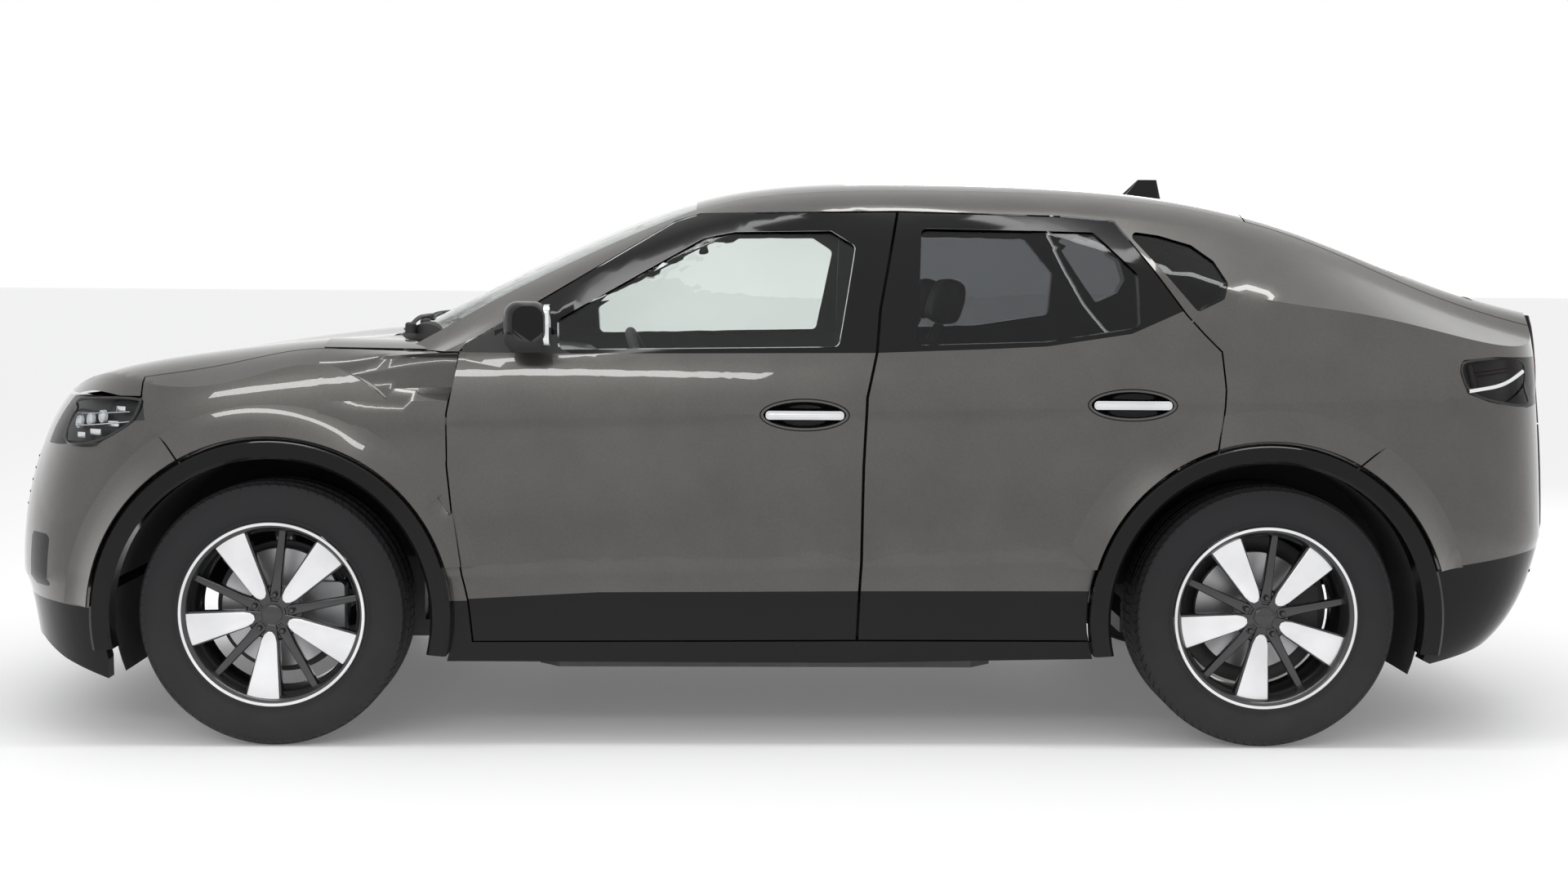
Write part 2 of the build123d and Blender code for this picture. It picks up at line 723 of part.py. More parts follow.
with BuildPart() as tailgate_body:
    add(door_wall)
    add(cross_slab(ROOF_REAR_X + PANEL_GAP, TAIL + 60, FAR, 700), mode=Mode.INTERSECT)
    add(lid_strip, mode=Mode.INTERSECT)
    add(tailgate_lift.part, mode=Mode.INTERSECT)
    add(plan_prism(BACKLIGHT, 1000), mode=Mode.SUBTRACT)
with BuildPart() as light_bar_cut:
    with BuildSketch(Plane.YZ.offset(TAIL - 400)):
        with Locations((0, (LIGHT_BAR_Z[0] + LIGHT_BAR_Z[1]) / 2)):
            Rectangle(2 * FAR, LIGHT_BAR_Z[1] - LIGHT_BAR_Z[0])
    extrude(amount=500)
    add(sides(LIGHT_BAR_DEPTH), mode=Mode.SUBTRACT)
with BuildPart() as tail_light_bar:
    add(tailgate_body.part)
    add(light_bar_cut.part, mode=Mode.INTERSECT)
save(tail_light_bar, "tail_light_bar")
with BuildPart() as tailgate:
    add(tailgate_body.part)
    add(light_bar_cut.part, mode=Mode.SUBTRACT)
save(tailgate, "tailgate")
with BuildPart() as tailgate_glass:
    add(glass_wall)
    add(plan_prism([(BACKLIGHT_TOP_X + SEAM, 0), (BACKLIGHT_TOP_X + SEAM, 500 - SEAM),
                    (BACKLIGHT_LOW_X - SEAM, 525 - SEAM), (BACKLIGHT_LOW_X - SEAM, 0)], 1000),
        mode=Mode.INTERSECT)
save(tailgate_glass, "tailgate_glass")

with BuildPart() as tail_lamps:
    add(door_wall)
    add(side_prism(TAIL_LAMP, 300, draw_in=SEAM), mode=Mode.INTERSECT)
    add(strip, mode=Mode.SUBTRACT)
    mirror(about=Plane.XZ)
save(tail_lamps, "tail_lamps")



def tail_piece(outline):
    """The tail skin between the body and its inner face, inside one outline."""
    with BuildPart() as piece:
        add(cabin_skin)
        add(side_prism(outline), mode=Mode.INTERSECT)
        add(tail_inner, mode=Mode.SUBTRACT)
        add(rear_arch_cut, mode=Mode.SUBTRACT)
    return piece.part


tail_inner = sides(TAIL_THICKNESS)
with BuildPart() as rear_bumper:
    add(tail_piece(REAR_BUMPER))
    add(cross_slab(R + 300, TAIL + 60, 600, TAILGATE_LOW_Z - PANEL_GAP), mode=Mode.SUBTRACT)
    mirror(about=Plane.XZ)
save(rear_bumper, "rear_bumper")
with BuildPart() as rear_bumper_low:
    add(tail_piece(REAR_BUMPER_LOW))
    mirror(about=Plane.XZ)
save(rear_bumper_low, "rear_bumper_low")

# Sills, arch trims and liners
SILL_LOW_Z = 236
SILL_TRIM = [
    (F + 455, 290), (F + 548, 290), (F + 1619, 297), (R - 480, 297), (R - 480, SILL_LOW_Z + 12),
    (F + 1619, SILL_LOW_Z), (F + 455, SILL_LOW_Z),
]
with BuildPart() as sill_trims:
    add(door_wall)
    add(side_prism(SILL_TRIM, 300), mode=Mode.INTERSECT)
    add(front_arch_cut, mode=Mode.SUBTRACT)
    add(rear_arch_cut, mode=Mode.SUBTRACT)
with BuildPart() as fender_trim:
    add(door_wall)
    add(side_prism(FENDER_LOW, 300), mode=Mode.INTERSECT)
    add(front_arch_cut, mode=Mode.SUBTRACT)


def arch_ring(x, low_front, low_rear):
    """A trim that rings the wheel arch down to its two feet."""
    with BuildPart() as ring:
        with BuildSketch(Plane.XZ.offset(ARCH_TRIM_INNER)):
            with Locations((x, ARCH_CENTRE_Z)):
                Circle(trim_radius)
                Circle(ARCH_RADIUS, mode=Mode.SUBTRACT)
        extrude(amount=ARCH_TRIM_FACE - ARCH_TRIM_INNER)
        outer = ring.edges().filter_by(GeomType.CIRCLE).group_by(Axis.Y)[0]
        chamfer(outer, 8)
        with BuildSketch(Plane.XZ):
            with BuildLine():
                Polyline(
                    (x - 700, -FAR), (x - 700, low_front), (x, low_front + 40), (x + 700, low_rear),
                    (x + 700, -FAR), close=True,
                )
            make_face()
        extrude(amount=FAR, mode=Mode.SUBTRACT)
    return ring.part


ARCH_TRIM_INNER = 868
with BuildPart() as arch_trims_left:
    add(arch_ring(F, 262, 240))
    add(arch_ring(R, 250, 262))
    add(sill_trims.part)
    add(fender_trim.part)
save(arch_trims_left, "arch_trims_left")
with BuildPart() as arch_trims_right:
    mirror(arch_trims_left.part, about=Plane.XZ)
save(arch_trims_right, "arch_trims_right")


def arch_liner(x, depth, foot):
    """The inner wheel housing: a half drum with a wall behind the wheel."""
    with BuildPart() as liner:
        with BuildSketch(Plane.XZ.offset(depth - LINER_WALL)):
            with Locations((x, ARCH_CENTRE_Z)):
                Circle(ARCH_RADIUS + LINER_WALL)
        extrude(amount=ARCH_TRIM_INNER - SEAM - depth + LINER_WALL)
        with BuildSketch(Plane.XZ.offset(depth)):
            with Locations((x, ARCH_CENTRE_Z)):
                Circle(ARCH_RADIUS)
        extrude(amount=FAR, mode=Mode.SUBTRACT)
        with BuildSketch(Plane.XZ):
            with Locations((x, foot - ARCH_RADIUS)):
                Rectangle(2 * FAR, 2 * ARCH_RADIUS)
        extrude(amount=FAR, mode=Mode.SUBTRACT)
    return liner.part


FRONT_LINER_FOOT = 470
REAR_LINER_FOOT = 420
with BuildPart() as wheel_liners:
    add(arch_liner(F, FRONT_WELL_DEPTH, FRONT_LINER_FOOT))
    with BuildSketch(Plane.XZ.offset(FRONT_WELL_DEPTH - 20)):
        with Locations((F - 25, 577)):
            Rectangle(260, 50)
    extrude(amount=40, mode=Mode.SUBTRACT)
    add(arch_liner(R, REAR_WELL_DEPTH, REAR_LINER_FOOT))
    mirror(about=Plane.XZ)
save(wheel_liners, "wheel_liners")

# Floor, sills, bulkhead and boot floor
PAN_HALF = 700
PAN_WALL = 14
FLOOR_Z = 262
BENCH_FLOOR_Z = 430
BOOT_FLOOR_Z = 640
BATTERY_LOW_Z = 180
SEAT_GAP = 0.3
PAN_LINE = [
    (F + 422, 1062), (F + 422, 700), (F + 502, 320), (F + 732, FLOOR_Z), (R - 835, FLOOR_Z),
    (R - 765, BENCH_FLOOR_Z), (R - 265, BENCH_FLOOR_Z), (R - 225, BOOT_FLOOR_Z),
    (TAIL - 190, BOOT_FLOOR_Z),
]
PAN_PLAN = [
    (F + 400, 0), (F + 400, PAN_HALF), (TAIL - 285, PAN_HALF), (TAIL - 190, 570), (TAIL - 190, 0),
]
BOOT_BOARD = 6
BULKHEAD_FACE = PAN_LINE[0][0] - PAN_WALL / 2
front_well = wheel_drum(F, ARCH_RADIUS + LINER_WALL + SEAM, FRONT_WELL_DEPTH - LINER_WALL - SEAM, FAR)
rear_well = wheel_drum(R, ARCH_RADIUS + LINER_WALL + SEAM, REAR_WELL_DEPTH - LINER_WALL - SEAM, FAR)
with BuildPart() as wells:
    add(front_well)
    add(rear_well)
    mirror(about=Plane.XZ)
with BuildPart() as floor_pan:
    with BuildSketch(Plane.XZ):
        with BuildLine() as pan_line:
            FilletPolyline(*PAN_LINE, radius=60)
        trace(pan_line.edges(), PAN_WALL)
    extrude(amount=PAN_HALF, both=True)
    add(plan_prism(PAN_PLAN), mode=Mode.INTERSECT)
    with BuildSketch(Plane.XY.offset(BOOT_FLOOR_Z)):
        with Locations((R + 360, 0)):
            Rectangle(680, 1120)
    extrude(amount=PAN_WALL / 2 + BOOT_BOARD)
    add(wells.part, mode=Mode.SUBTRACT)
save(floor_pan, "floor_pan")

SILL_INNER = PAN_HALF + SEAM
SILL_OUTER = 794
SILL_BOX = [(F + 470, 246), (F + 470, 395), (R - 500, 395), (R - 470, 246)]
with BuildPart() as sills:
    add(side_prism(SILL_BOX, SILL_INNER, SILL_OUTER))
    add(arch_trims_left.part, mode=Mode.SUBTRACT)
    add(wells.part, mode=Mode.SUBTRACT)
    mirror(about=Plane.XZ)
save(sills, "sills")

BATTERY_HALF = 660
with BuildPart() as battery_pack:
    with BuildSketch(Plane.XY.offset(BATTERY_LOW_Z)) as tray:
        with Locations(((F + R - 25) / 2, 0)):
            Rectangle(WHEELBASE - 1450, 2 * BATTERY_HALF)
        chamfer(tray.vertices(), 60)
    extrude(amount=FLOOR_Z - PAN_WALL / 2 - SEAT_GAP - BATTERY_LOW_Z)
save(battery_pack, "battery_pack")

# Centre pillars between the front and rear doors
PILLAR_OUTER = [(395, 790), (930, 822), (1110, 786), (1300, 704), (1480, 590)]
PILLAR_DEPTH = 42
PILLAR_X = F + 1690
PILLAR_WIDTH = 110
with BuildPart() as centre_pillars:
    with BuildSketch(Plane.YZ.offset(PILLAR_X - PILLAR_WIDTH / 2)):
        with BuildLine():
            outer_face = [(-y, z + SEAM) for z, y in PILLAR_OUTER]
            inner_face = [(-y + PILLAR_DEPTH, z + SEAM) for z, y in reversed(PILLAR_OUTER)]
            Polyline(*outer_face, (-560, 1545), (-520, 1545), *inner_face, close=True)
        make_face()
    extrude(amount=PILLAR_WIDTH)
    add(roof_panel.part, mode=Mode.SUBTRACT)
    add(body_side_left.part, mode=Mode.SUBTRACT)
    mirror(about=Plane.XZ)
save(centre_pillars, "centre_pillars")

# Under the bonnet: a flat cover over the closed bay
COVER_Z = 868
with BuildPart() as bay_cover:
    with BuildSketch(Plane.XY.offset(COVER_Z)) as cover_plan:
        with BuildLine():
            Polyline(
                (NOSE + 230, 0), (NOSE + 240, 420), (NOSE + 420, 700), (F + 405, 700), (F + 405, 0),
            )
            mirror(about=Plane.XZ)
        make_face()
        fillet(cover_plan.vertices(), 30)
    extrude(amount=14)
    with BuildSketch(Plane.XY.offset(COVER_Z + 14)):
        with Locations((F - 120, 0)):
            RectangleRounded(420, 700, 40)
    extrude(amount=22, taper=25)
save(bay_cover, "bay_cover")

# Dashboard, centre console and steering column
DASH = [
    (F + 440, 1060), (F + 560, 1098), (F + 760, 1075), (F + 850, 1020), (F + 862, 930),
    (F + 800, 820), (F + 690, 760), (F + 432, 760),
]
DASH_HALF = 690
COLUMN_Y = -370
WHEEL_CENTRE = (F + 1030, COLUMN_Y, 990)
WHEEL_LEAN = 24
with BuildPart() as dashboard:
    with BuildSketch(Plane.XZ.offset(-DASH_HALF)) as dash_side:
        with BuildLine():
            Polyline(*DASH, close=True)
        make_face()
        fillet(dash_side.vertices().sort_by(Axis.X)[2:], 35)
    extrude(amount=2 * DASH_HALF)
    with BuildSketch(Plane.XY.offset(FLOOR_Z + PAN_WALL / 2 + SEAT_GAP)):
        with Locations((F + 1150, 0)):
            RectangleRounded(760, 190, 40)
    extrude(amount=310)
    with BuildSketch(Plane.XY.offset(500)):
        with Locations((F + 800, 0)):
            Rectangle(180, 190)
    extrude(amount=320)
column_plane = Plane(
    origin=WHEEL_CENTRE, x_dir=(0, 1, 0), z_dir=(cos(radians(WHEEL_LEAN)), 0, sin(radians(WHEEL_LEAN)))
)
COLUMN_SEAT = -70
with BuildPart() as dash_and_column:
    add(dashboard.part)
    with BuildSketch(column_plane.offset(COLUMN_SEAT)):
        Circle(34)
    extrude(amount=-220)
save(dash_and_column, "dashboard")

STEERING_WHEEL_RADIUS = 182
STEERING_RIM = 15
with BuildPart() as steering_wheel:
    with BuildSketch(Plane(origin=WHEEL_CENTRE, x_dir=column_plane.z_dir, z_dir=(0, 1, 0))):
        with Locations((0, STEERING_WHEEL_RADIUS - STEERING_RIM)):
            Circle(STEERING_RIM)
    revolve(axis=Axis(WHEEL_CENTRE, tuple(column_plane.z_dir)))
    with BuildSketch(column_plane.offset(-24)):
        Circle(70)
    extrude(amount=30)
    with BuildSketch(column_plane.offset(-10)):
        Rectangle(2 * STEERING_WHEEL_RADIUS - 40, 34)
        with Locations((0, -85)):
            Rectangle(34, 160)
    extrude(amount=12)
    with BuildSketch(column_plane.offset(COLUMN_SEAT + 0.5)):
        Circle(24)
    extrude(amount=50)
save(steering_wheel, "steering_wheel")

# Seats: cushion, backrest and headrest
SEAT_Y = 370
SEAT_X = F + 1250
SEAT_FRAME_HEIGHT = 236
SEAT_BRACKET = 12
SEAT_BRACKET_FAR = 250 + SEAT_GAP + SEAT_BRACKET


def seat_side(points, y0, width, corner=40):
    with BuildPart() as soft:
        with BuildSketch(Plane.XZ.offset(y0 - width / 2)) as outline:
            with BuildLine():
                Polyline(*points, close=True)
            make_face()
            fillet(outline.vertices(), corner)
        extrude(amount=width)
        ends = soft.faces().filter_by(Axis.Y).edges()
        fillet(ends, 24)
    return soft.part


SEAT_CUSHION = [(SEAT_X - 30, 500), (SEAT_X - 40, 620), (SEAT_X + 420, 590), (SEAT_X + 420, 480)]
SEAT_BACK = [(SEAT_X + 425, 560), (SEAT_X + 560, 1130), (SEAT_X + 660, 1120), (SEAT_X + 555, 520)]
HEAD_REST = [(SEAT_X + 595, 1180), (SEAT_X + 640, 1320), (SEAT_X + 720, 1300), (SEAT_X + 690, 1165)]
with BuildPart() as front_seats:
    add(seat_side(SEAT_CUSHION, SEAT_Y, 500))
    add(seat_side(SEAT_BACK, SEAT_Y, 500))
    add(seat_side(HEAD_REST, SEAT_Y, 270, 30))
    mirror(about=Plane.XZ)
save(front_seats, "front_seats")
with BuildPart() as seat_frames:
    with BuildSketch(Plane.XY.offset(FLOOR_Z + PAN_WALL / 2 + SEAT_GAP)):
        with Locations((SEAT_X + 190, SEAT_Y), (SEAT_X + 190, -SEAT_Y)):
            Rectangle(380, 400)
    extrude(amount=SEAT_FRAME_HEIGHT)
    with BuildSketch(Plane.XY.offset(410)):
        with Locations((SEAT_X + 330, SEAT_Y), (SEAT_X + 330, -SEAT_Y)):
            Rectangle(100, 2 * SEAT_BRACKET_FAR)
    extrude(amount=50)
    for bracket_y in (SEAT_Y - SEAT_BRACKET_FAR, SEAT_Y + SEAT_BRACKET_FAR - SEAT_BRACKET):
        with BuildSketch(Plane.XZ.offset(bracket_y)):
            with BuildLine():
                Polyline((SEAT_X + 280, 410), (SEAT_X + 280, 470), (SEAT_X + 440, 660),
                         (SEAT_X + 560, 640), (SEAT_X + 520, 520), (SEAT_X + 380, 410), close=True)
            make_face()
        extrude(amount=SEAT_BRACKET)
        with BuildSketch(Plane.XZ.offset(-bracket_y - SEAT_BRACKET)):
            with BuildLine():
                Polyline((SEAT_X + 280, 410), (SEAT_X + 280, 470), (SEAT_X + 440, 660),
                         (SEAT_X + 560, 640), (SEAT_X + 520, 520), (SEAT_X + 380, 410), close=True)
            make_face()
        extrude(amount=SEAT_BRACKET)
    for side in (-1, 1):
        for post in (-60, 60):
            with BuildSketch(Plane.XZ.offset(side * SEAT_Y + post - 7)):
                with BuildLine():
                    Polyline((SEAT_X + 606, 1120), (SEAT_X + 640, 1185), (SEAT_X + 655, 1180),
                             (SEAT_X + 622, 1115), close=True)
                make_face()
            extrude(amount=14)
    add(front_seats.part, mode=Mode.SUBTRACT)
save(seat_frames, "seat_frames")

BENCH_LOW_Z = BENCH_FLOOR_Z + PAN_WALL / 2 + SEAT_GAP
BACKREST_LOW_Z = BOOT_FLOOR_Z + PAN_WALL / 2 + SEAT_GAP
BENCH_CUSHION = [(R - 735, BENCH_LOW_Z), (R - 745, 615), (R - 272, 590), (R - 272, BENCH_LOW_Z)]
BENCH_BACK = [(R - 178, BACKREST_LOW_Z), (R - 258, 690), (R - 128, 1112), (R - 22, 1100),
              (R - 95, BACKREST_LOW_Z)]
with BuildPart() as rear_bench:
    add(seat_side(BENCH_CUSHION, 0, 1190))
    add(seat_side(BENCH_BACK, 0, 1160, 24))
save(rear_bench, "rear_bench")

# Front running gear: subframe, lower arms and steering rack
BALL_Z = 228
with BuildPart() as front_subframe:
    with BuildSketch(Plane.XY.offset(215)) as cradle:
        with Locations((F + 60, 0)):
            Rectangle(640, 720)
            Rectangle(440, 440, mode=Mode.SUBTRACT)
        with Locations((F + 120, 0)):
            Rectangle(90, 700)
        for side in (-1, 1):
            with BuildLine():
                Polyline(
                    (F + 190, side * 355), (F + 30, side * 700), (F - 30, side * 700), (F - 60, side * 600),
                    (F - 60, side * 355), close=True,
                )
            make_face()
    extrude(amount=50)
    with BuildSketch(Plane.XY.offset(BALL_Z)):
        with Locations((F, KINGPIN_Y), (F, -KINGPIN_Y)):
            Rectangle(130, 90)
    extrude(amount=60, mode=Mode.SUBTRACT)
    with BuildSketch(Plane.XY.offset(265)):
        with Locations((F - 120, 330), (F - 120, -330), (F + 300, 330), (F + 300, -330)):
            Rectangle(80, 60)
    extrude(amount=COVER_Z - SEAM - 265)
    with BuildSketch(Plane.YZ.offset(F + 330)):
        with Locations((-330, 760), (330, 760)):
            Rectangle(60, 80)
    extrude(amount=BULKHEAD_FACE - F - 330 - SEAT_GAP)

# Crash beam behind the bumper, on two rails, with the socket of the towing eye
BEAM_X = NOSE + 104
BEAM_HALF = 425
BEAM_DEPTH = 60
BEAM_Z = (470, 560)
with BuildPart() as front_crash_beam:
    with BuildSketch(Plane.YZ.offset(BEAM_X)):
        with Locations((0, sum(BEAM_Z) / 2)):
            Rectangle(2 * BEAM_HALF, BEAM_Z[1] - BEAM_Z[0])
    extrude(amount=BEAM_DEPTH)
    with BuildSketch(Plane.YZ.offset(BEAM_X + BEAM_DEPTH)):
        with Locations((-330, sum(BEAM_Z) / 2), (330, sum(BEAM_Z) / 2)):
            Rectangle(70, 70)
    extrude(amount=F - 160 + SEAM - BEAM_X - BEAM_DEPTH - 2 * SEAM)
    with BuildSketch(Plane.YZ.offset(BEAM_X - 1)):
        with Locations((TOW_EYE_Y, TOW_EYE_Z)):
            Circle(TOW_EYE_RADIUS)
    extrude(amount=BEAM_DEPTH + 2, mode=Mode.SUBTRACT)
save(front_crash_beam, "front_crash_beam")

# Steered knuckles with their brake calipers
KNUCKLE_TOP_Z = 566
CALIPER_GAP = 4
AXLE_Z = FRONT_TYRE_RADIUS
FRONT_WHEEL_Y = FRONT_TRACK / 2
REAR_WHEEL_Y = REAR_TRACK / 2
DISC_OFFSET = -44
BEARING_GAP = 2
HUB_FACE = 78
front_disc_y = FRONT_WHEEL_Y + DISC_OFFSET
rear_disc_y = REAR_WHEEL_Y + DISC_OFFSET

with BuildPart() as upper_arms:
    with BuildSketch(Plane.XY.offset(KNUCKLE_TOP_Z + SEAM)):
        with BuildLine():
            Polyline((F - 25, 735), (F + 25, 735), (F + 70, 400), (F + 70, 300), (F - 120, 300),
                     (F - 120, 370), (F - 60, 400), close=True)
        make_face()
    extrude(amount=20)
    mirror(about=Plane.XZ)
with BuildPart() as front_running_gear:
    add(front_subframe.part)
    add(upper_arms.part)
save(front_running_gear, "front_subframe")


def caliper(x, z, disc_y):
    """Two cheeks and a bridge over the edge of the brake disc, on the left side."""
    with BuildPart() as clamp:
        with BuildSketch(Plane.XZ.offset(disc_y - 16)):
            with Locations((x + 138, z)):
                RectangleRounded(84, 150, 16)
        extrude(amount=DISC_THICKNESS + 34)
        with BuildSketch(Plane.XZ.offset(disc_y - CALIPER_GAP)):
            with Locations((x, z)):
                Circle(DISC_RADIUS + CALIPER_GAP)
        extrude(amount=DISC_THICKNESS + 2 * CALIPER_GAP, mode=Mode.SUBTRACT)
    return clamp.part


def carrier(x, z, disc_y):
    """The wheel carrier behind a brake disc: bearing housing and caliper bracket."""
    with BuildPart() as housing:
        with BuildSketch(Plane.XZ.offset(disc_y - 62)):
            with Locations((x, z)):
                Circle(56)
        extrude(amount=62 - BEARING_GAP)
        with BuildSketch(Plane.XZ.offset(disc_y - 46)):
            with Locations((x + 80, z)):
                Rectangle(90, 60)
        extrude(amount=34)
    return housing.part


with BuildPart() as knuckle_left:
    add(carrier(F, AXLE_Z, front_disc_y))
    with BuildSketch(Plane.XZ.offset(KINGPIN_Y - 30)):
        with BuildLine():
            Polyline((F - 32, BALL_Z + SEAM), (F + 32, BALL_Z + SEAM), (F + 40, AXLE_Z),
                     (F + 22, KNUCKLE_TOP_Z), (F - 22, KNUCKLE_TOP_Z), (F - 40, AXLE_Z), close=True)
        make_face()
    extrude(amount=front_disc_y - BEARING_GAP - 14 - KINGPIN_Y + 30)
    with BuildSketch(Plane.XY.offset(KNUCKLE_TOP_Z)):
        with Locations((F, -KINGPIN_Y)):
            Circle(KINGPIN_RADIUS)
    extrude(amount=-60)
    add(caliper(F, AXLE_Z, front_disc_y))
save(knuckle_left, "knuckle_left")
with BuildPart() as knuckle_right:
    mirror(knuckle_left.part, about=Plane.XZ)
save(knuckle_right, "knuckle_right")

# Rear running gear: arms, carriers and the drive motor block between them
REAR_AXLE_Z = REAR_TYRE_RADIUS
with BuildPart() as rear_subframe:
    with BuildSketch(Plane.XY.offset(235)) as rear_cradle:
        with Locations((R, 0)):
            Rectangle(620, 760)
            Rectangle(470, 600, mode=Mode.SUBTRACT)
        with Locations((R - 110, 0), (R + 110, 0)):
            Rectangle(60, 640)
        for side in (-1, 1):
            with BuildLine():
                Polyline((R - 90, side * 340), (R - 40, side * 700), (R + 40, side * 700),
                         (R + 90, side * 340), close=True)
            make_face()
    extrude(amount=46)
    with BuildSketch(Plane.XZ.offset(rear_disc_y - 62)):
        with Locations((R, 322)):
            Rectangle(70, 130)
    extrude(amount=44)
    with BuildSketch(Plane.XZ.offset(-rear_disc_y + 62)):
        with Locations((R, 322)):
            Rectangle(70, 130)
    extrude(amount=-44)
    with BuildSketch(Plane.XY.offset(270)):
        with Locations((R - 120, 340), (R - 120, -340), (R + 270, 340), (R + 270, -340)):
            Rectangle(80, 70)
    extrude(amount=BOOT_FLOOR_Z - PAN_WALL / 2 - SEAT_GAP - 270)
    add(carrier(R, REAR_AXLE_Z, rear_disc_y))
    add(caliper(R, REAR_AXLE_Z, rear_disc_y))
    add(mirror(carrier(R, REAR_AXLE_Z, rear_disc_y), about=Plane.XZ, mode=Mode.PRIVATE))
    add(mirror(caliper(R, REAR_AXLE_Z, rear_disc_y), about=Plane.XZ, mode=Mode.PRIVATE))
save(rear_subframe, "rear_subframe")
with BuildPart() as drive_motor:
    with BuildSketch(Plane.XZ.offset(-230)):
        with Locations((R, 281 + SEAT_GAP + 115)):
            RectangleRounded(380, 230, 60)
    extrude(amount=460)
save(drive_motor, "drive_motor")

# Wheels
SPOKES = 5
SPOKE_FACE = 100
SPOKE_THICKNESS = 26


def tyre(x, z, plane_y, radius, width):
    half = width / 2
    with BuildPart() as ring:
        with BuildSketch(Plane(origin=(x, -plane_y, z), x_dir=(0, -1, 0), z_dir=(1, 0, 0))):
            with BuildLine():
                Polyline(
                    (-half + 6, RIM_RADIUS + BEAD_SEAM), (-half, 0.5 * (radius + RIM_RADIUS) - 14),
                    (-half + 12, radius - 16), (-half + 34, radius), (half - 34, radius),
                    (half - 12, radius - 16), (half, 0.5 * (radius + RIM_RADIUS) - 14),
                    (half - 6, RIM_RADIUS + BEAD_SEAM), close=True,
                )
            make_face()
        revolve(axis=Axis((x, 0, z), (0, 1, 0)))
    return ring.part


def rim(x, z, plane_y, width):
    """Barrel, five wide blades with a thin spoke between each pair, hub and brake disc."""
    half = width / 2 - 4
    barrel_plane = Plane(origin=(x, -plane_y, z), x_dir=(0, -1, 0), z_dir=(1, 0, 0))
    face_plane = Plane(origin=(x, -plane_y, z), x_dir=(1, 0, 0), z_dir=(0, -1, 0))
    with BuildPart() as wheel:
        with BuildSketch(barrel_plane):
            with BuildLine():
                Polyline(
                    (-half, RIM_RADIUS), (-half + 50, 236), (half - 60, 236), (half, RIM_RADIUS),
                    (half, RIM_RADIUS - RIM_WALL), (half - 60, 225), (-half + 50, 225),
                    (-half, RIM_RADIUS - RIM_WALL), close=True,
                )
            make_face()
        revolve(axis=Axis((x, 0, z), (0, 1, 0)))
        with BuildSketch(face_plane.offset(SPOKE_FACE - SPOKE_THICKNESS)):
            Circle(HUB_RADIUS)
            with PolarLocations(0, SPOKES, 47):
                with BuildLine():
                    Polyline((40, 15), (236, 50), (236, -50), (40, -15), close=True)
                make_face()
            with PolarLocations(0, SPOKES, 47 + 180 / SPOKES):
                with BuildLine():
                    Polyline((40, 11), (236, 11), (236, -11), (40, -11), close=True)
                make_face()
        extrude(amount=SPOKE_THICKNESS)
        with BuildSketch(face_plane.offset(DISC_OFFSET)):
            Circle(DISC_RADIUS)
        extrude(amount=DISC_THICKNESS)
        with BuildSketch(face_plane.offset(DISC_OFFSET)):
            Circle(62)
        extrude(amount=SPOKE_FACE - SPOKE_THICKNESS - DISC_OFFSET)
    return wheel.part


corners = {
    "front_left": (F, FRONT_TYRE_RADIUS, FRONT_WHEEL_Y, FRONT_TYRE_WIDTH, False),
    "front_right": (F, FRONT_TYRE_RADIUS, FRONT_WHEEL_Y, FRONT_TYRE_WIDTH, True),
    "rear_left": (R, REAR_TYRE_RADIUS, REAR_WHEEL_Y, REAR_TYRE_WIDTH, False),
    "rear_right": (R, REAR_TYRE_RADIUS, REAR_WHEEL_Y, REAR_TYRE_WIDTH, True),
}
for place, (x, radius, plane_y, width, right) in corners.items():
    with BuildPart() as tyre_piece:
        add(tyre(x, radius, plane_y, radius, width))
        if right:
            mirror(about=Plane.XZ, mode=Mode.REPLACE)
    save(tyre_piece, f"tyre_{place}")
    with BuildPart() as rim_piece:
        add(rim(x, radius, plane_y, width))
        if right:
            mirror(about=Plane.XZ, mode=Mode.REPLACE)
    save(rim_piece, f"rim_{place}")

# Roof antenna fin
FIN_X = R - 280
FIN_TOP_Z = 1626
with BuildPart() as roof_fin:
    with BuildSketch(Plane.XY.offset(1530)):
        with Locations((FIN_X + 60, 0)):
            Ellipse(92, 34)
    with BuildSketch(Plane.XY.offset(FIN_TOP_Z)):
        with Locations((FIN_X + 100, 0)):
            Ellipse(30, 5)
    loft()
    add(cabin_skin, mode=Mode.SUBTRACT)
save(roof_fin, "roof_fin")
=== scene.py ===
import json
from math import copysign, cos, exp, hypot, pi, radians, sin

import bmesh
import bpy
from mathutils import Matrix, Vector

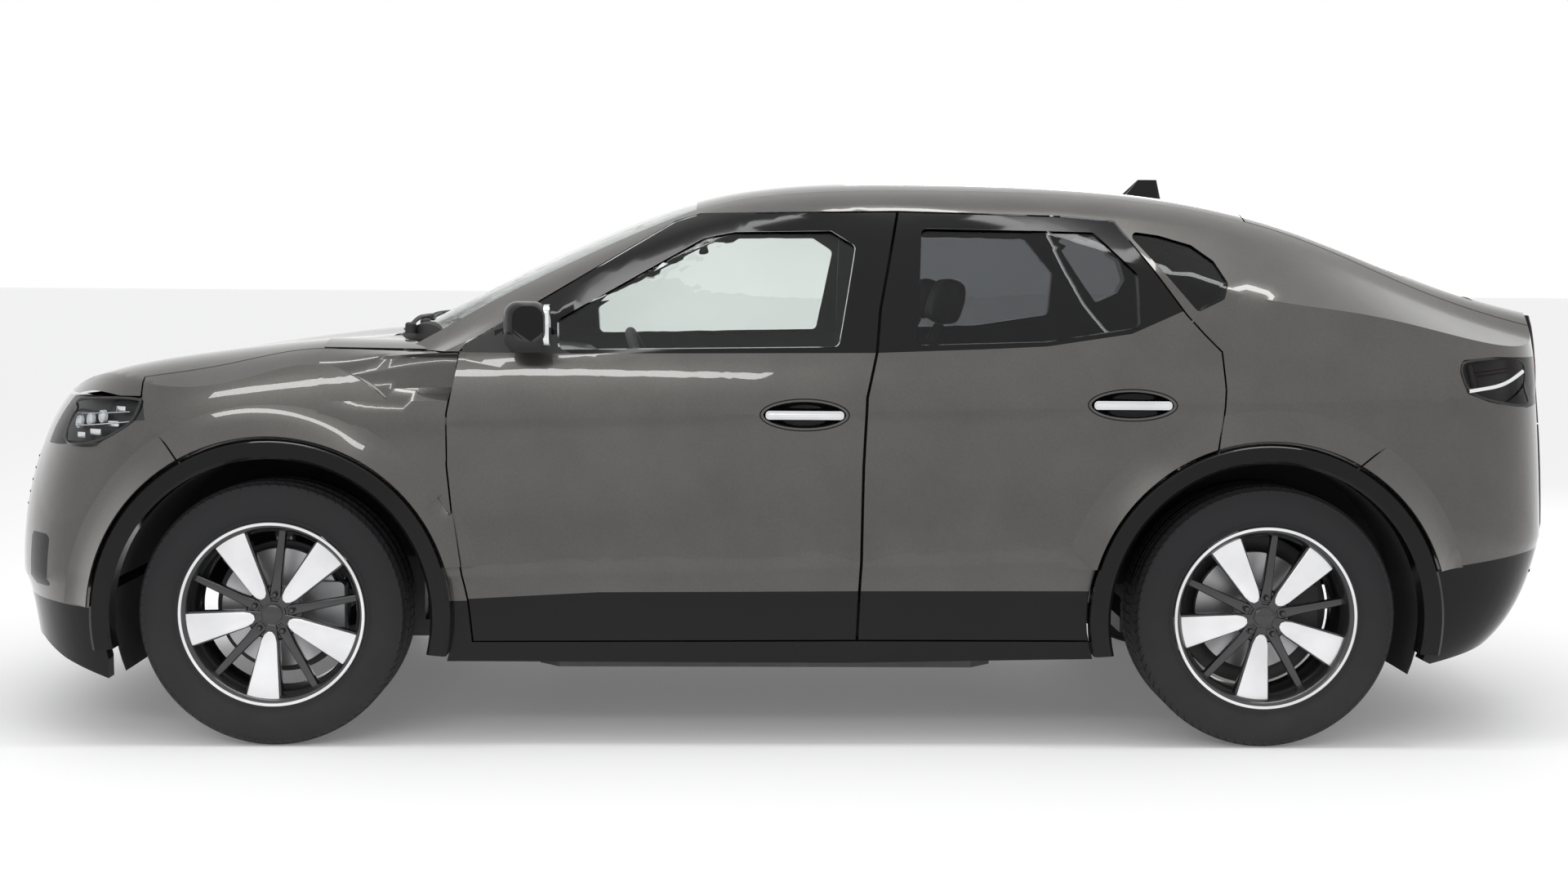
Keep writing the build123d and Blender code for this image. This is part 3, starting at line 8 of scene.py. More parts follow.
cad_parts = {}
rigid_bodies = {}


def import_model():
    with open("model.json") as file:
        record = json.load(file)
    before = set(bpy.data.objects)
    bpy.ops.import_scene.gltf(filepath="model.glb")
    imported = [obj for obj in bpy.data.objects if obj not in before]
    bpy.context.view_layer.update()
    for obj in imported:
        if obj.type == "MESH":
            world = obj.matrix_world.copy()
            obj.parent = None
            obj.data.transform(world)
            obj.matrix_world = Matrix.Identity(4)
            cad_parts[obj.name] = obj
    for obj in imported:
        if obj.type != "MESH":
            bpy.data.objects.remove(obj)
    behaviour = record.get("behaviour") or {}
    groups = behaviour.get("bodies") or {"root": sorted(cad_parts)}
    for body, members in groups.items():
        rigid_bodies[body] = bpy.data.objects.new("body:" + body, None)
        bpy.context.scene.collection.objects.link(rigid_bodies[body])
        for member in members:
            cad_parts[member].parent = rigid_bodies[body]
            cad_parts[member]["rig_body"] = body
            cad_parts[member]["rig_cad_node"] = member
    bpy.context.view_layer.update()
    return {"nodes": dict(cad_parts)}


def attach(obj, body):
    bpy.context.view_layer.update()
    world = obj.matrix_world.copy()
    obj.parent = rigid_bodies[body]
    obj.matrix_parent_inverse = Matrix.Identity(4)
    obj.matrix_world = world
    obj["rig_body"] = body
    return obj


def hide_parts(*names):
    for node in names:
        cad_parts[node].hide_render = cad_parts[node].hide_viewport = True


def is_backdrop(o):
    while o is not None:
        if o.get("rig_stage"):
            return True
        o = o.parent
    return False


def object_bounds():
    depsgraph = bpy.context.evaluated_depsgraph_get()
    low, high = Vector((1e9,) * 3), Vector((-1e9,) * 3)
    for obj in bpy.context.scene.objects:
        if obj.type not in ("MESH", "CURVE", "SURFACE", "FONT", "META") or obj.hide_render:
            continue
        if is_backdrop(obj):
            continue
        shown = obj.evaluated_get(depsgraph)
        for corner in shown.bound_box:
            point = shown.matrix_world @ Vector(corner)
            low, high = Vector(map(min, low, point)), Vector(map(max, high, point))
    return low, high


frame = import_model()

# Coupe sport utility vehicle. Metres: the nose points along -X, the left side is -Y, +Z is up.
FRONT_AXLE_X = -1.432
REAR_AXLE_X = 1.335
FRONT_WHEEL_Y = 0.794
REAR_WHEEL_Y = 0.783
FRONT_TYRE_RADIUS = 0.3705
REAR_TYRE_RADIUS = 0.3688
FRONT_TYRE_WIDTH = 0.235
REAR_TYRE_WIDTH = 0.255
ARCH_CENTRE_Z = 0.365


def effect(name, inputs, outputs):
    """An empty shader node group with named sockets."""
    group = bpy.data.node_groups.new(name, "ShaderNodeTree")
    for socket, kind, value in inputs:
        made = group.interface.new_socket(socket, in_out="INPUT", socket_type=kind)
        made.default_value = value
    for socket, kind in outputs:
        group.interface.new_socket(socket, in_out="OUTPUT", socket_type=kind)
    group.nodes.new("NodeGroupInput").name = "in"
    group.nodes.new("NodeGroupOutput").name = "out"
    return group


def node(tree, kind, **settings):
    """A node of one kind with its plain settings and numbered input values."""
    made = tree.nodes.new(kind)
    for key, value in settings.items():
        if key.startswith("in_"):
            made.inputs[key[3:].replace("_", " ")].default_value = value
        else:
            setattr(made, key, value)
    return made


def wire(tree, *links):
    """Joins sockets, each link told as from node, its output, to node, its input."""
    for source, out, target, into in links:
        tree.links.new(source.outputs[out], target.inputs[into])


def fine_grain():
    """Moulded grain: a mask of small cells and the normal that they give."""
    group = effect(
        "fine_grain",
        [("Scale", "NodeSocketFloat", 900.0), ("Strength", "NodeSocketFloat", 0.2)],
        [("Mask", "NodeSocketFloat"), ("Normal", "NodeSocketVector")],
    )
    inside, out = group.nodes["in"], group.nodes["out"]
    place = node(group, "ShaderNodeTexCoord")
    cells = node(group, "ShaderNodeTexVoronoi", feature="DISTANCE_TO_EDGE")
    bump = node(group, "ShaderNodeBump", in_Distance=0.0003)
    wire(
        group, (place, "Object", cells, "Vector"), (inside, "Scale", cells, "Scale"),
        (cells, "Distance", bump, "Height"), (inside, "Strength", bump, "Strength"),
        (cells, "Distance", out, "Mask"), (bump, "Normal", out, "Normal"),
    )
    return group


def road_dust():
    """A soft film that gathers low down and in patches: mixes a dust colour into a finish."""
    group = effect(
        "road_dust",
        [("Color", "NodeSocketColor", (0.1, 0.1, 0.1, 1)), ("Amount", "NodeSocketFloat", 0.1),
         ("Height", "NodeSocketFloat", 0.5)],
        [("Color", "NodeSocketColor"), ("Mask", "NodeSocketFloat")],
    )
    inside, out = group.nodes["in"], group.nodes["out"]
    place = node(group, "ShaderNodeTexCoord")
    split = node(group, "ShaderNodeSeparateXYZ")
    patches = node(group, "ShaderNodeTexNoise", in_Scale=9.0, in_Detail=6.0)
    low = node(group, "ShaderNodeMath", operation="SUBTRACT")
    share = node(group, "ShaderNodeMath", operation="MULTIPLY", use_clamp=True)
    film = node(group, "ShaderNodeMath", operation="MULTIPLY", use_clamp=True)
    amount = node(group, "ShaderNodeMath", operation="MULTIPLY", use_clamp=True)
    mix = node(group, "ShaderNodeMix", data_type="RGBA")
    mix.inputs["B"].default_value = (0.30, 0.28, 0.25, 1)
    share.inputs[1].default_value = 2.5
    wire(
        group, (place, "Object", split, "Vector"), (place, "Object", patches, "Vector"),
        (inside, "Height", low, 0), (split, "Z", low, 1), (low, "Value", share, 0),
        (share, "Value", film, 0), (patches, "Fac", film, 1),
        (film, "Value", amount, 0), (inside, "Amount", amount, 1),
        (amount, "Value", mix, "Factor"), (inside, "Color", mix, "A"),
        (mix, "Result", out, "Color"), (amount, "Value", out, "Mask"),
    )
    return group


def soft_blotches():
    """Slow changes of roughness and tone over a surface."""
    group = effect(
        "soft_blotches",
        [("Color", "NodeSocketColor", (0.1, 0.1, 0.1, 1)), ("Scale", "NodeSocketFloat", 6.0),
         ("Roughness", "NodeSocketFloat", 0.4), ("Spread", "NodeSocketFloat", 0.1)],
        [("Color", "NodeSocketColor"), ("Roughness", "NodeSocketFloat")],
    )
    inside, out = group.nodes["in"], group.nodes["out"]
    place = node(group, "ShaderNodeTexCoord")
    noise = node(group, "ShaderNodeTexNoise", in_Detail=5.0)
    centred = node(group, "ShaderNodeMath", operation="SUBTRACT")
    spread = node(group, "ShaderNodeMath", operation="MULTIPLY_ADD")
    tone = node(group, "ShaderNodeMath", operation="MULTIPLY_ADD")
    shade = node(group, "ShaderNodeHueSaturation")
    centred.inputs[1].default_value = 0.5
    tone.inputs[1].default_value = 0.5
    tone.inputs[2].default_value = 1.0
    wire(
        group, (place, "Object", noise, "Vector"), (inside, "Scale", noise, "Scale"),
        (noise, "Fac", centred, 0), (centred, "Value", spread, 0),
        (inside, "Spread", spread, 1), (inside, "Roughness", spread, 2),
        (centred, "Value", tone, 0), (tone, "Value", shade, "Value"),
        (inside, "Color", shade, "Color"), (shade, "Color", out, "Color"),
        (spread, "Value", out, "Roughness"),
    )
    return group


GRAIN = fine_grain()
DUST = road_dust()
BLOTCHES = soft_blotches()


def use(tree, group, **values):
    """One of the shared effects placed in a material."""
    made = tree.nodes.new("ShaderNodeGroup")
    made.node_tree = group
    for key, value in values.items():
        made.inputs[key].default_value = value
    return made


def finish(name, color, roughness, spread=0.06, dust=0.0, grain=0.0, grain_scale=900.0, **sockets):
    """A material whose colour, roughness and grain change over the surface."""
    made = bpy.data.materials.new(name)
    made.use_nodes = True
    tree = made.node_tree
    shader = tree.nodes["Principled BSDF"]
    for key, value in sockets.items():
        shader.inputs[key.replace("_", " ")].default_value = value
    blotches = use(tree, BLOTCHES, Color=(*color, 1), Roughness=roughness, Spread=spread)
    tree.links.new(blotches.outputs["Roughness"], shader.inputs["Roughness"])
    last = blotches.outputs["Color"]
    if dust:
        film = use(tree, DUST, Amount=dust)
        tree.links.new(last, film.inputs["Color"])
        last = film.outputs["Color"]
    tree.links.new(last, shader.inputs["Base Color"])
    if grain:
        cells = use(tree, GRAIN, Scale=grain_scale, Strength=grain)
        tree.links.new(cells.outputs["Normal"], shader.inputs["Normal"])
    made.diffuse_color = (*color, 1)
    return made


def flake_paint():
    """Dark warm grey metallic paint under a clear coat."""
    made = finish("grey_metallic_paint", (0.066, 0.062, 0.057), 0.30, spread=0.03, dust=0.05,
                  Metallic=0.75, Coat_Weight=1.0, Coat_Roughness=0.015, Coat_IOR=1.5)
    tree = made.node_tree
    shader = tree.nodes["Principled BSDF"]
    place = node(tree, "ShaderNodeTexCoord")
    flakes = node(tree, "ShaderNodeTexVoronoi", in_Scale=1400.0)
    ramp = node(tree, "ShaderNodeMapRange")
    ramp.inputs["From Min"].default_value = 0.0
    ramp.inputs["From Max"].default_value = 1.0
    ramp.inputs["To Min"].default_value = 0.75
    ramp.inputs["To Max"].default_value = 1.35
    shine = node(tree, "ShaderNodeHueSaturation")
    split = node(tree, "ShaderNodeSeparateColor")
    before = shader.inputs["Base Color"].links[0].from_socket
    tree.links.new(before, shine.inputs["Color"])
    wire(
        tree, (place, "Object", flakes, "Vector"), (flakes, "Color", split, "Color"),
        (split, "Red", ramp, "Value"), (ramp, "Result", shine, "Value"),
        (shine, "Color", shader, "Base Color"),
    )
    return made


def brushed(name, color, roughness, scale):
    """Metal with fine machining lines."""
    made = finish(name, color, roughness, spread=0.08, Metallic=1.0)
    tree = made.node_tree
    shader = tree.nodes["Principled BSDF"]
    place = node(tree, "ShaderNodeTexCoord")
    move = node(tree, "ShaderNodeMapping")
    lines = node(tree, "ShaderNodeTexNoise", in_Scale=scale, in_Detail=3.0)
    bump = node(tree, "ShaderNodeBump", in_Strength=0.12, in_Distance=0.0002)
    move.inputs["Scale"].default_value = (1, 1, 0.02)
    wire(
        tree, (place, "Object", move, "Vector"), (move, "Vector", lines, "Vector"),
        (lines, "Fac", bump, "Height"), (bump, "Normal", shader, "Normal"),
    )
    return made


def glass(name, color, transmission, roughness=0.0, index=1.3):
    """Window and lamp glass, faintly uneven in tone."""
    made = bpy.data.materials.new(name)
    made.use_nodes = True
    tree = made.node_tree
    shader = tree.nodes["Principled BSDF"]
    shader.inputs["Transmission Weight"].default_value = transmission
    shader.inputs["IOR"].default_value = index
    shader.inputs["Roughness"].default_value = roughness
    blotches = use(tree, BLOTCHES, Color=(*color, 1), Scale=0.8)
    tree.links.new(blotches.outputs["Color"], shader.inputs["Base Color"])
    made.diffuse_color = (*color, 0.5)
    return made


PAINT = flake_paint()
GLOSS_BLACK = finish("gloss_black_trim", (0.003, 0.003, 0.0035), 0.10, spread=0.03, dust=0.015,
                     Specular_IOR_Level=0.20, Coat_Weight=0.08, Coat_Roughness=0.02)
MATTE_BLACK = finish("moulded_black_plastic", (0.022, 0.022, 0.023), 0.62, dust=0.25, grain=0.5)
LINER_FELT = finish("arch_liner_felt", (0.014, 0.014, 0.015), 0.95, dust=0.15, grain=0.8, grain_scale=420.0)
CLEAR_GLASS = glass("clear_window_glass", (0.86, 0.90, 0.88), 1.0)
DARK_GLASS = glass("privacy_window_glass", (0.30, 0.31, 0.32), 1.0)
LENS = glass("clear_lamp_lens", (0.92, 0.94, 0.95), 1.0, index=1.22)
SMOKED_LENS = glass("smoked_lamp_lens", (0.36, 0.35, 0.36), 1.0, index=1.22)
RED_LENS = glass("red_lamp_lens", (0.30, 0.012, 0.012), 1.0, roughness=0.05)
LAMP_BLACK = finish("lamp_housing_black", (0.012, 0.012, 0.013), 0.35, grain=0.2)
LAMP_SILVER = brushed("lamp_reflector", (0.70, 0.71, 0.72), 0.20, 500.0)
BULB_WHITE = finish("lamp_diffuser", (0.78, 0.80, 0.82), 0.25)
MIRROR_GLASS = finish("mirror_glass", (0.82, 0.84, 0.85), 0.02, spread=0.01, Metallic=1.0)
CHROME = brushed("bright_chrome", (0.80, 0.81, 0.82), 0.12, 300.0)
MACHINED = brushed("machined_spoke_face", (0.78, 0.78, 0.79), 0.30, 900.0)
DISC_STEEL = brushed("brake_disc_steel", (0.50, 0.50, 0.51), 0.36, 700.0)
CALIPER_GREY = finish("cast_caliper", (0.42, 0.43, 0.44), 0.45, dust=0.3, grain=0.3, Metallic=0.7)
RIM_BLACK = finish("rim_black", (0.011, 0.011, 0.012), 0.22, dust=0.1, Coat_Weight=0.6, Coat_Roughness=0.08)
RUBBER = finish("tyre_rubber", (0.013, 0.013, 0.0145), 0.66, spread=0.12, dust=0.06, grain=0.35,
                grain_scale=1600.0, Specular_IOR_Level=0.3)
UNDERBODY = finish("underbody_coating", (0.045, 0.045, 0.048), 0.7, dust=0.35, grain=0.6, grain_scale=300.0)
CAST_METAL = finish("cast_metal_case", (0.36, 0.36, 0.37), 0.5, dust=0.3, grain=0.5, grain_scale=500.0,
                    Metallic=0.8)
CHASSIS = finish("chassis_paint", (0.03, 0.03, 0.032), 0.5, dust=0.35, grain=0.3)
CABIN_PLASTIC = finish("cabin_plastic", (0.018, 0.018, 0.020), 0.55, grain=0.5, grain_scale=1100.0)
SEAT_HIDE = finish("seat_cover", (0.035, 0.034, 0.036), 0.5, spread=0.1, grain=0.7, grain_scale=700.0)
PLATE = finish("plain_plate", (0.72, 0.72, 0.70), 0.35)


def alone(piece):
    """Only this object is selected, and it is the one worked on."""
    bpy.ops.object.select_all(action="DESELECT")
    piece.select_set(True)
    bpy.context.view_layer.objects.active = piece
    return piece


def pick(piece, test, kind="FACE"):
    """In edit mode, selects the faces, edges or points that pass a test."""
    bpy.ops.mesh.select_mode(type=kind)
    bpy.ops.mesh.select_all(action="DESELECT")
    mesh = bmesh.from_edit_mesh(piece.data)
    items = {"FACE": mesh.faces, "EDGE": mesh.edges, "VERT": mesh.verts}[kind]
    for item in items:
        item.select_set(bool(test(item)))
    mesh.select_flush_mode()
    bmesh.update_edit_mesh(piece.data)


def bevelled(piece, width, segments=2):
    """The piece with its sharp edges rounded."""
    alone(piece)
    soft = piece.modifiers.new("edges", "BEVEL")
    soft.width = width
    soft.segments = segments
    soft.limit_method = "ANGLE"
    soft.angle_limit = radians(30)
    bpy.ops.object.modifier_apply(modifier=soft.name)
    bpy.ops.object.shade_smooth_by_angle(angle=radians(30))
    return piece


def outline_face(name, points):
    """A flat face with its corners at given places."""
    bpy.ops.object.select_all(action="DESELECT")
    bpy.ops.mesh.primitive_circle_add(vertices=len(points), radius=1, fill_type="NGON")
    face = bpy.context.object
    face.name = name
    for corner, place in zip(face.data.vertices, points):
        corner.co = place
    return face


def plate(name, points, depth, bevel=0.0, segments=2):
    """A flat outline drawn out along a vector into a solid, with softened edges."""
    solid = outline_face(name, points)
    bpy.ops.object.mode_set(mode="EDIT")
    bpy.ops.mesh.select_all(action="SELECT")
    bpy.ops.mesh.extrude_region_move(TRANSFORM_OT_translate={"value": depth})
    bpy.ops.mesh.select_all(action="SELECT")
    bpy.ops.mesh.normals_make_consistent(inside=False)
    bpy.ops.object.mode_set(mode="OBJECT")
    if bevel:
        bevelled(solid, bevel, segments)
    return solid


def turned(name, profile, steps=96):
    """A closed profile of (radius, place) points turned round the Y axis."""
    bpy.ops.object.select_all(action="DESELECT")
    bpy.ops.mesh.primitive_circle_add(vertices=len(profile), radius=1, fill_type="NOTHING")
    ring = bpy.context.object
    ring.name = name
    for corner, (radius, place) in zip(ring.data.vertices, profile):
        corner.co = (radius, place, 0)
    bpy.ops.object.mode_set(mode="EDIT")
    bpy.ops.mesh.select_all(action="SELECT")
    bpy.ops.mesh.spin(steps=steps, angle=2 * pi, center=(0, 0, 0), axis=(0, 1, 0))
    bpy.ops.mesh.select_all(action="SELECT")
    bpy.ops.mesh.remove_doubles(threshold=0.00002)
    bpy.ops.mesh.normals_make_consistent(inside=False)
    bpy.ops.object.mode_set(mode="OBJECT")
    bpy.ops.object.shade_smooth_by_angle(angle=radians(35))
    return ring


def strip(name, points, width, closed=False):
    """A rounded strip along a smooth line of places."""
    line = bpy.data.curves.new(name, "CURVE")
    line.dimensions = "3D"
    run = line.splines.new("NURBS")
    run.points.add(len(points) - 1)
    for control, place in zip(run.points, points):
        control.co = (*place, 1)
    run.order_u = 3
    run.use_endpoint_u = not closed
    run.use_cyclic_u = closed
    run.resolution_u = 6
    line.bevel_depth = width / 2
    line.bevel_resolution = 3
    line.use_fill_caps = not closed
    piece = bpy.data.objects.new(name, line)
    bpy.context.scene.collection.objects.link(piece)
    alone(piece)
    bpy.ops.object.convert(target="MESH")
    piece = bpy.context.object
    bpy.ops.object.shade_smooth_by_angle(angle=radians(50))
    return piece


def side_of(panel, x, z, out=0.0):
    """The place on a panel's outside at x and z, seen from the left, or a plain one where it misses."""
    hit, place, facing, _ = panel.ray_cast(Vector((x, -2.0, z)), Vector((0, 1, 0)))
    if not hit:
        return Vector((x, -0.85, z))
    return place + facing.normalized() * out


def joined(pieces, name):
    """Several worked objects made one."""
    bpy.ops.object.select_all(action="DESELECT")
    for piece in pieces:
        piece.select_set(True)
    bpy.context.view_layer.objects.active = pieces[0]
    bpy.ops.object.join()
    pieces[0].name = name
    return pieces[0]


def copied(piece, name, flip=False):
    """A copy with its own mesh, in place or mirrored across the car."""
    twin = piece.copy()
    twin.data = piece.data.copy()
    twin.name = name
    bpy.context.scene.collection.objects.link(twin)
    if flip:
        twin.data.transform(Matrix.Scale(-1, 4, (0, 1, 0)))
        twin.data.flip_normals()
    return twin


def coat(piece, *materials):
    """The piece with these finishes and no other."""
    piece.data.materials.clear()
    for material in materials:
        piece.data.materials.append(material)
    return piece


def skin_of(name, *materials):
    """A merged, smooth-shaded copy of a solid's surface, standing for it."""
    source = frame["nodes"][name]
    panel = source.copy()
    panel.data = source.data.copy()
    panel.name = name + "_surface"
    del panel["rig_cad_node"]
    body = source["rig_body"]
    bpy.context.scene.collection.objects.link(panel)
    panel.parent = None
    alone(panel)
    bpy.ops.object.mode_set(mode="EDIT")
    bpy.ops.mesh.customdata_custom_splitnormals_clear()
    bpy.ops.mesh.select_all(action="SELECT")
    bpy.ops.mesh.remove_doubles(threshold=0.00005)
    bpy.ops.object.mode_set(mode="OBJECT")
    bpy.ops.object.shade_smooth_by_angle(angle=radians(28))
    coat(panel, *materials)
    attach(panel, body)
    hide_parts(name)
    return panel


def paint_where(panel, slot, test):
    """Gives the faces that pass a test another of the piece's materials."""
    for face in panel.data.polygons:
        if test(face.center, face.normal):
            face.material_index = slot


# The finish of each solid that isn't gloss black
NODE_FINISH = {
    "wheel_liners": LINER_FELT, "floor_pan": UNDERBODY, "sills": CHASSIS, "battery_pack": CHASSIS,
    "centre_pillars": CABIN_PLASTIC, "bay_cover": MATTE_BLACK, "dashboard": CABIN_PLASTIC,
    "front_seats": SEAT_HIDE, "seat_frames": CABIN_PLASTIC, "rear_bench": SEAT_HIDE,
    "front_subframe": CHASSIS, "front_crash_beam": CHASSIS, "rear_subframe": CHASSIS,
    "drive_motor": CAST_METAL, "knuckle_left": CALIPER_GREY, "knuckle_right": CALIPER_GREY,
    "cowl_panel": MATTE_BLACK, "steering_wheel": CABIN_PLASTIC,
}
for solid in frame["nodes"].values():
    coat(solid, NODE_FINISH.get(solid.name, GLOSS_BLACK))


def inside_cabin(centre, normal):
    """True on a wall's inner face."""
    return centre.y * normal.y < -0.0001 * abs(centre.y) and abs(normal.y) > 0.3


# Each handle's middle: x, z and how far out the bar's face stands
HANDLES = {"front_door": (0.039, 0.933, 0.920), "rear_door": (0.946, 0.965, 0.917)}
MIRROR_FACE_X = -0.6545
skins = {}


def on_bar(door):
    """The test for the handle bar that stands across the recess."""
    x, z, skin = HANDLES[door]
    return lambda centre, normal: (
        abs(centre.x - x) < 0.112 and abs(centre.z - z) < 0.0135 and abs(centre.y) > skin - 0.0065
    )


def mirror_foot(centre, normal):
    """True on the mirror's foot and lower wedge."""
    return centre.x < -0.62 and abs(centre.y) > 0.86 and 0.95 < centre.z < 1.152


for side in ("left", "right"):
    for panel_name in ("body_side", "front_fender"):
        panel = skin_of(f"{panel_name}_{side}", PAINT, CABIN_PLASTIC)
        paint_where(panel, 1, inside_cabin)
        skins[f"{panel_name}_{side}"] = panel
    for door in ("front_door", "rear_door"):
        panel = skin_of(f"{door}_panel_{side}", PAINT, CABIN_PLASTIC)
        paint_where(panel, 1, inside_cabin)
        skins[f"{door}_{side}"] = panel
        trim = skin_of(f"{door}_trim_{side}", GLOSS_BLACK, CHROME, MATTE_BLACK)
        paint_where(trim, 1, on_bar(door))
        if door == "front_door":
            paint_where(trim, 2, mirror_foot)
        skins[f"{door}_trim_{side}"] = trim
        skin_of(f"{door}_glass_{side}", CLEAR_GLASS if door == "front_door" else DARK_GLASS)
    skin_of(f"arch_trims_{side}", GLOSS_BLACK)
for panel_name in ("roof_panel", "bonnet", "tailgate", "front_bumper", "rear_bumper"):
    skins[panel_name] = skin_of(panel_name, PAINT)
for panel_name in ("front_bumper_low", "rear_bumper_low", "grille_panels", "roof_fin"):
    skins[panel_name] = skin_of(panel_name, GLOSS_BLACK)
skin_of("quarter_glass", DARK_GLASS)
skin_of("tailgate_glass", DARK_GLASS)
skins["windscreen"] = skin_of("windscreen", CLEAR_GLASS)
skins["headlamps"] = skin_of("headlamps", LENS, LAMP_BLACK)
skins["tail_lamps"] = skin_of("tail_lamps", SMOKED_LENS, LAMP_BLACK)
skins["tail_light_bar"] = skin_of("tail_light_bar", RED_LENS)


def lamp_back(centre, normal):
    """True on the faces of a lamp that lie against its housing."""
    return normal.dot(Vector((copysign(1, centre.x) * 0.8, copysign(1, centre.y), 0.1))) < 0.25


for lamp_name in ("headlamps", "tail_lamps"):
    paint_where(skins[lamp_name], 1, lamp_back)

# Outlines in the side view, as x and z
HEADLAMP_EDGE = [
    (-1.979, 0.962), (-1.880, 0.9635), (-1.800, 0.9625), (-1.794, 0.955), (-1.8145, 0.903), (-1.860, 0.872),
    (-1.918, 0.844), (-1.980, 0.833), (-2.030, 0.831), (-2.040, 0.850), (-2.028, 0.900), (-2.005, 0.932),
]
TAIL_LAMP_EDGE = [
    (1.882, 1.078), (1.892, 1.089), (1.990, 1.097), (2.090, 1.094), (2.100, 1.050), (2.090, 1.012),
    (2.085, 0.958), (1.967, 0.979), (1.901, 1.002), (1.879, 1.056),
]
TAIL_LAMP_BAR = [(1.899, 1.006), (1.950, 1.012), (2.000, 1.020), (2.045, 1.036), (2.085, 1.058)]


def mirrored(piece, body):
    """A left-hand piece and its twin on the right, each riding on its body."""
    twin = copied(piece, piece.name.replace("_left", "_right"), flip=True)
    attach(piece, body)
    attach(twin, body.replace("_left", "_right"))
    return piece, twin


# Inside each headlamp: its border, two ledges, four reflector cups and three projectors
bpy.context.view_layer.update()
lamp = skins["headlamps"]
edge = [side_of(lamp, x, z, 0.0005) for x, z in HEADLAMP_EDGE]
parts = [coat(strip("border", edge, 0.008, closed=True), LAMP_BLACK)]
for z0, z1, width in ((0.884, 0.902, 0.0045), (0.918, 0.930, 0.004)):
    run = [side_of(lamp, -2.015 + 0.036 * n, z0 + (z1 - z0) * n / 5, -0.016) for n in range(6)]
    parts.append(coat(strip("ledge", run, width), LAMP_SILVER))
for x, z, half in (
    (-1.995, 0.858, 0.015), (-1.945, 0.868, 0.020), (-1.888, 0.895, 0.020), (-1.868, 0.937, 0.017),
):
    here = side_of(lamp, x, z, -0.020)
    cup = plate("cup", [(-half, 0, -0.009), (half, 0, -0.007), (half, 0, 0.009), (-half, 0, 0.009)],
                (0, 0.006, 0), 0.002)
    cup.data.transform(Matrix.Translation(here) @ Matrix.Rotation(radians(-28), 4, "Z"))
    parts.append(coat(cup, LAMP_SILVER))
for x, z in ((-2.012, 0.897), (-1.972, 0.907), (-1.930, 0.916)):
    here = side_of(lamp, x, z, -0.024)
    ring = turned("projector", [
        (0.0, -0.006), (0.007, -0.0055), (0.012, -0.002), (0.0125, 0.001), (0.016, -0.003), (0.018, -0.002),
        (0.018, 0.010), (0.0, 0.010),
    ], steps=32)
    ring.data.transform(Matrix.Translation(here) @ Matrix.Rotation(radians(-52), 4, "Z"))
    parts.append(coat(ring, BULB_WHITE))
mirrored(joined(parts, "headlamp_inside_left"), "body")

# Inside each tail lamp: its border, a bright bar, two light guides and a post
lamp = skins["tail_lamps"]
edge = [side_of(lamp, x, z, 0.0005) for x, z in TAIL_LAMP_EDGE]
parts = [coat(strip("border", edge, 0.007, closed=True), LAMP_BLACK)]
run = [side_of(lamp, x, z, 0.001) for x, z in TAIL_LAMP_BAR]
parts.append(coat(strip("bar", run, 0.013), CHROME))
for drop in (0.012, 0.022):
    run = [side_of(lamp, 1.925 + 0.04 * n, 1.070 - drop + 0.004 * n, -0.018) for n in range(5)]
    parts.append(coat(strip("guide", run, 0.005), RED_LENS))
run = [side_of(lamp, x, z, -0.014) for x, z in ((1.912, 1.080), (1.916, 1.050), (1.926, 1.020))]
parts.append(coat(strip("post", run, 0.026), LAMP_BLACK))
mirrored(joined(parts, "tail_lamp_inside_left"), "body")

corners = [(MIRROR_FACE_X, y, z) for y, z in (
    (-0.935, 1.126), (-0.930, 1.215), (-0.945, 1.236), (-1.000, 1.232),
    (-1.016, 1.215), (-1.016, 1.140), (-1.000, 1.124), (-0.948, 1.118),
)]
glass_piece = coat(plate("mirror_glass_left", corners, (-0.016, 0, 0), 0.0015), MIRROR_GLASS)
mirrored(glass_piece, "front_door_left")

RECESS_HALF_LENGTH = 0.1225 * 1.02
RECESS_HALF_HEIGHT = 0.0442 * 1.03
RECESS_STEPS = 56
for door, (x, z, skin) in HANDLES.items():
    panel = skins[f"{door}_left"]
    rim_places = []
    for n in range(RECESS_STEPS):
        turn = 2 * pi * n / RECESS_STEPS
        place = x + RECESS_HALF_LENGTH * cos(turn), z + RECESS_HALF_HEIGHT * sin(turn)
        rim_places.append(side_of(panel, *place, 0.0004))
    bowl = outline_face(f"{door}_recess_left", rim_places)
    bpy.ops.object.mode_set(mode="EDIT")
    bpy.ops.mesh.select_all(action="SELECT")
    for thickness, depth in ((0.0035, 0.0004), (0.002, -0.006), (0.006, -0.0075), (0.012, -0.004)):
        bpy.ops.mesh.inset(thickness=thickness, depth=depth)
    bpy.ops.mesh.select_all(action="SELECT")
    bpy.ops.mesh.normals_make_consistent(inside=False)
    bpy.ops.object.mode_set(mode="OBJECT")
    if sum(face.normal.y for face in bowl.data.polygons) > 0:
        bowl.data.flip_normals()
    bpy.ops.object.shade_smooth_by_angle(angle=radians(40))
    mirrored(coat(bowl, GLOSS_BLACK), f"{door}_left")
    cap_edge = [
        (x + along, -skin - 0.0088, z + up) for along, up in (
            (-0.096, -0.0045), (-0.104, 0), (-0.096, 0.0045), (0.096, 0.0045), (0.104, 0), (0.096, -0.0045),
        )
    ]
    bar = plate(f"{door}_handle_cap_left", cap_edge, (0, -0.0016, 0), 0.0007)
    mirrored(coat(bar, MACHINED), f"{door}_left")

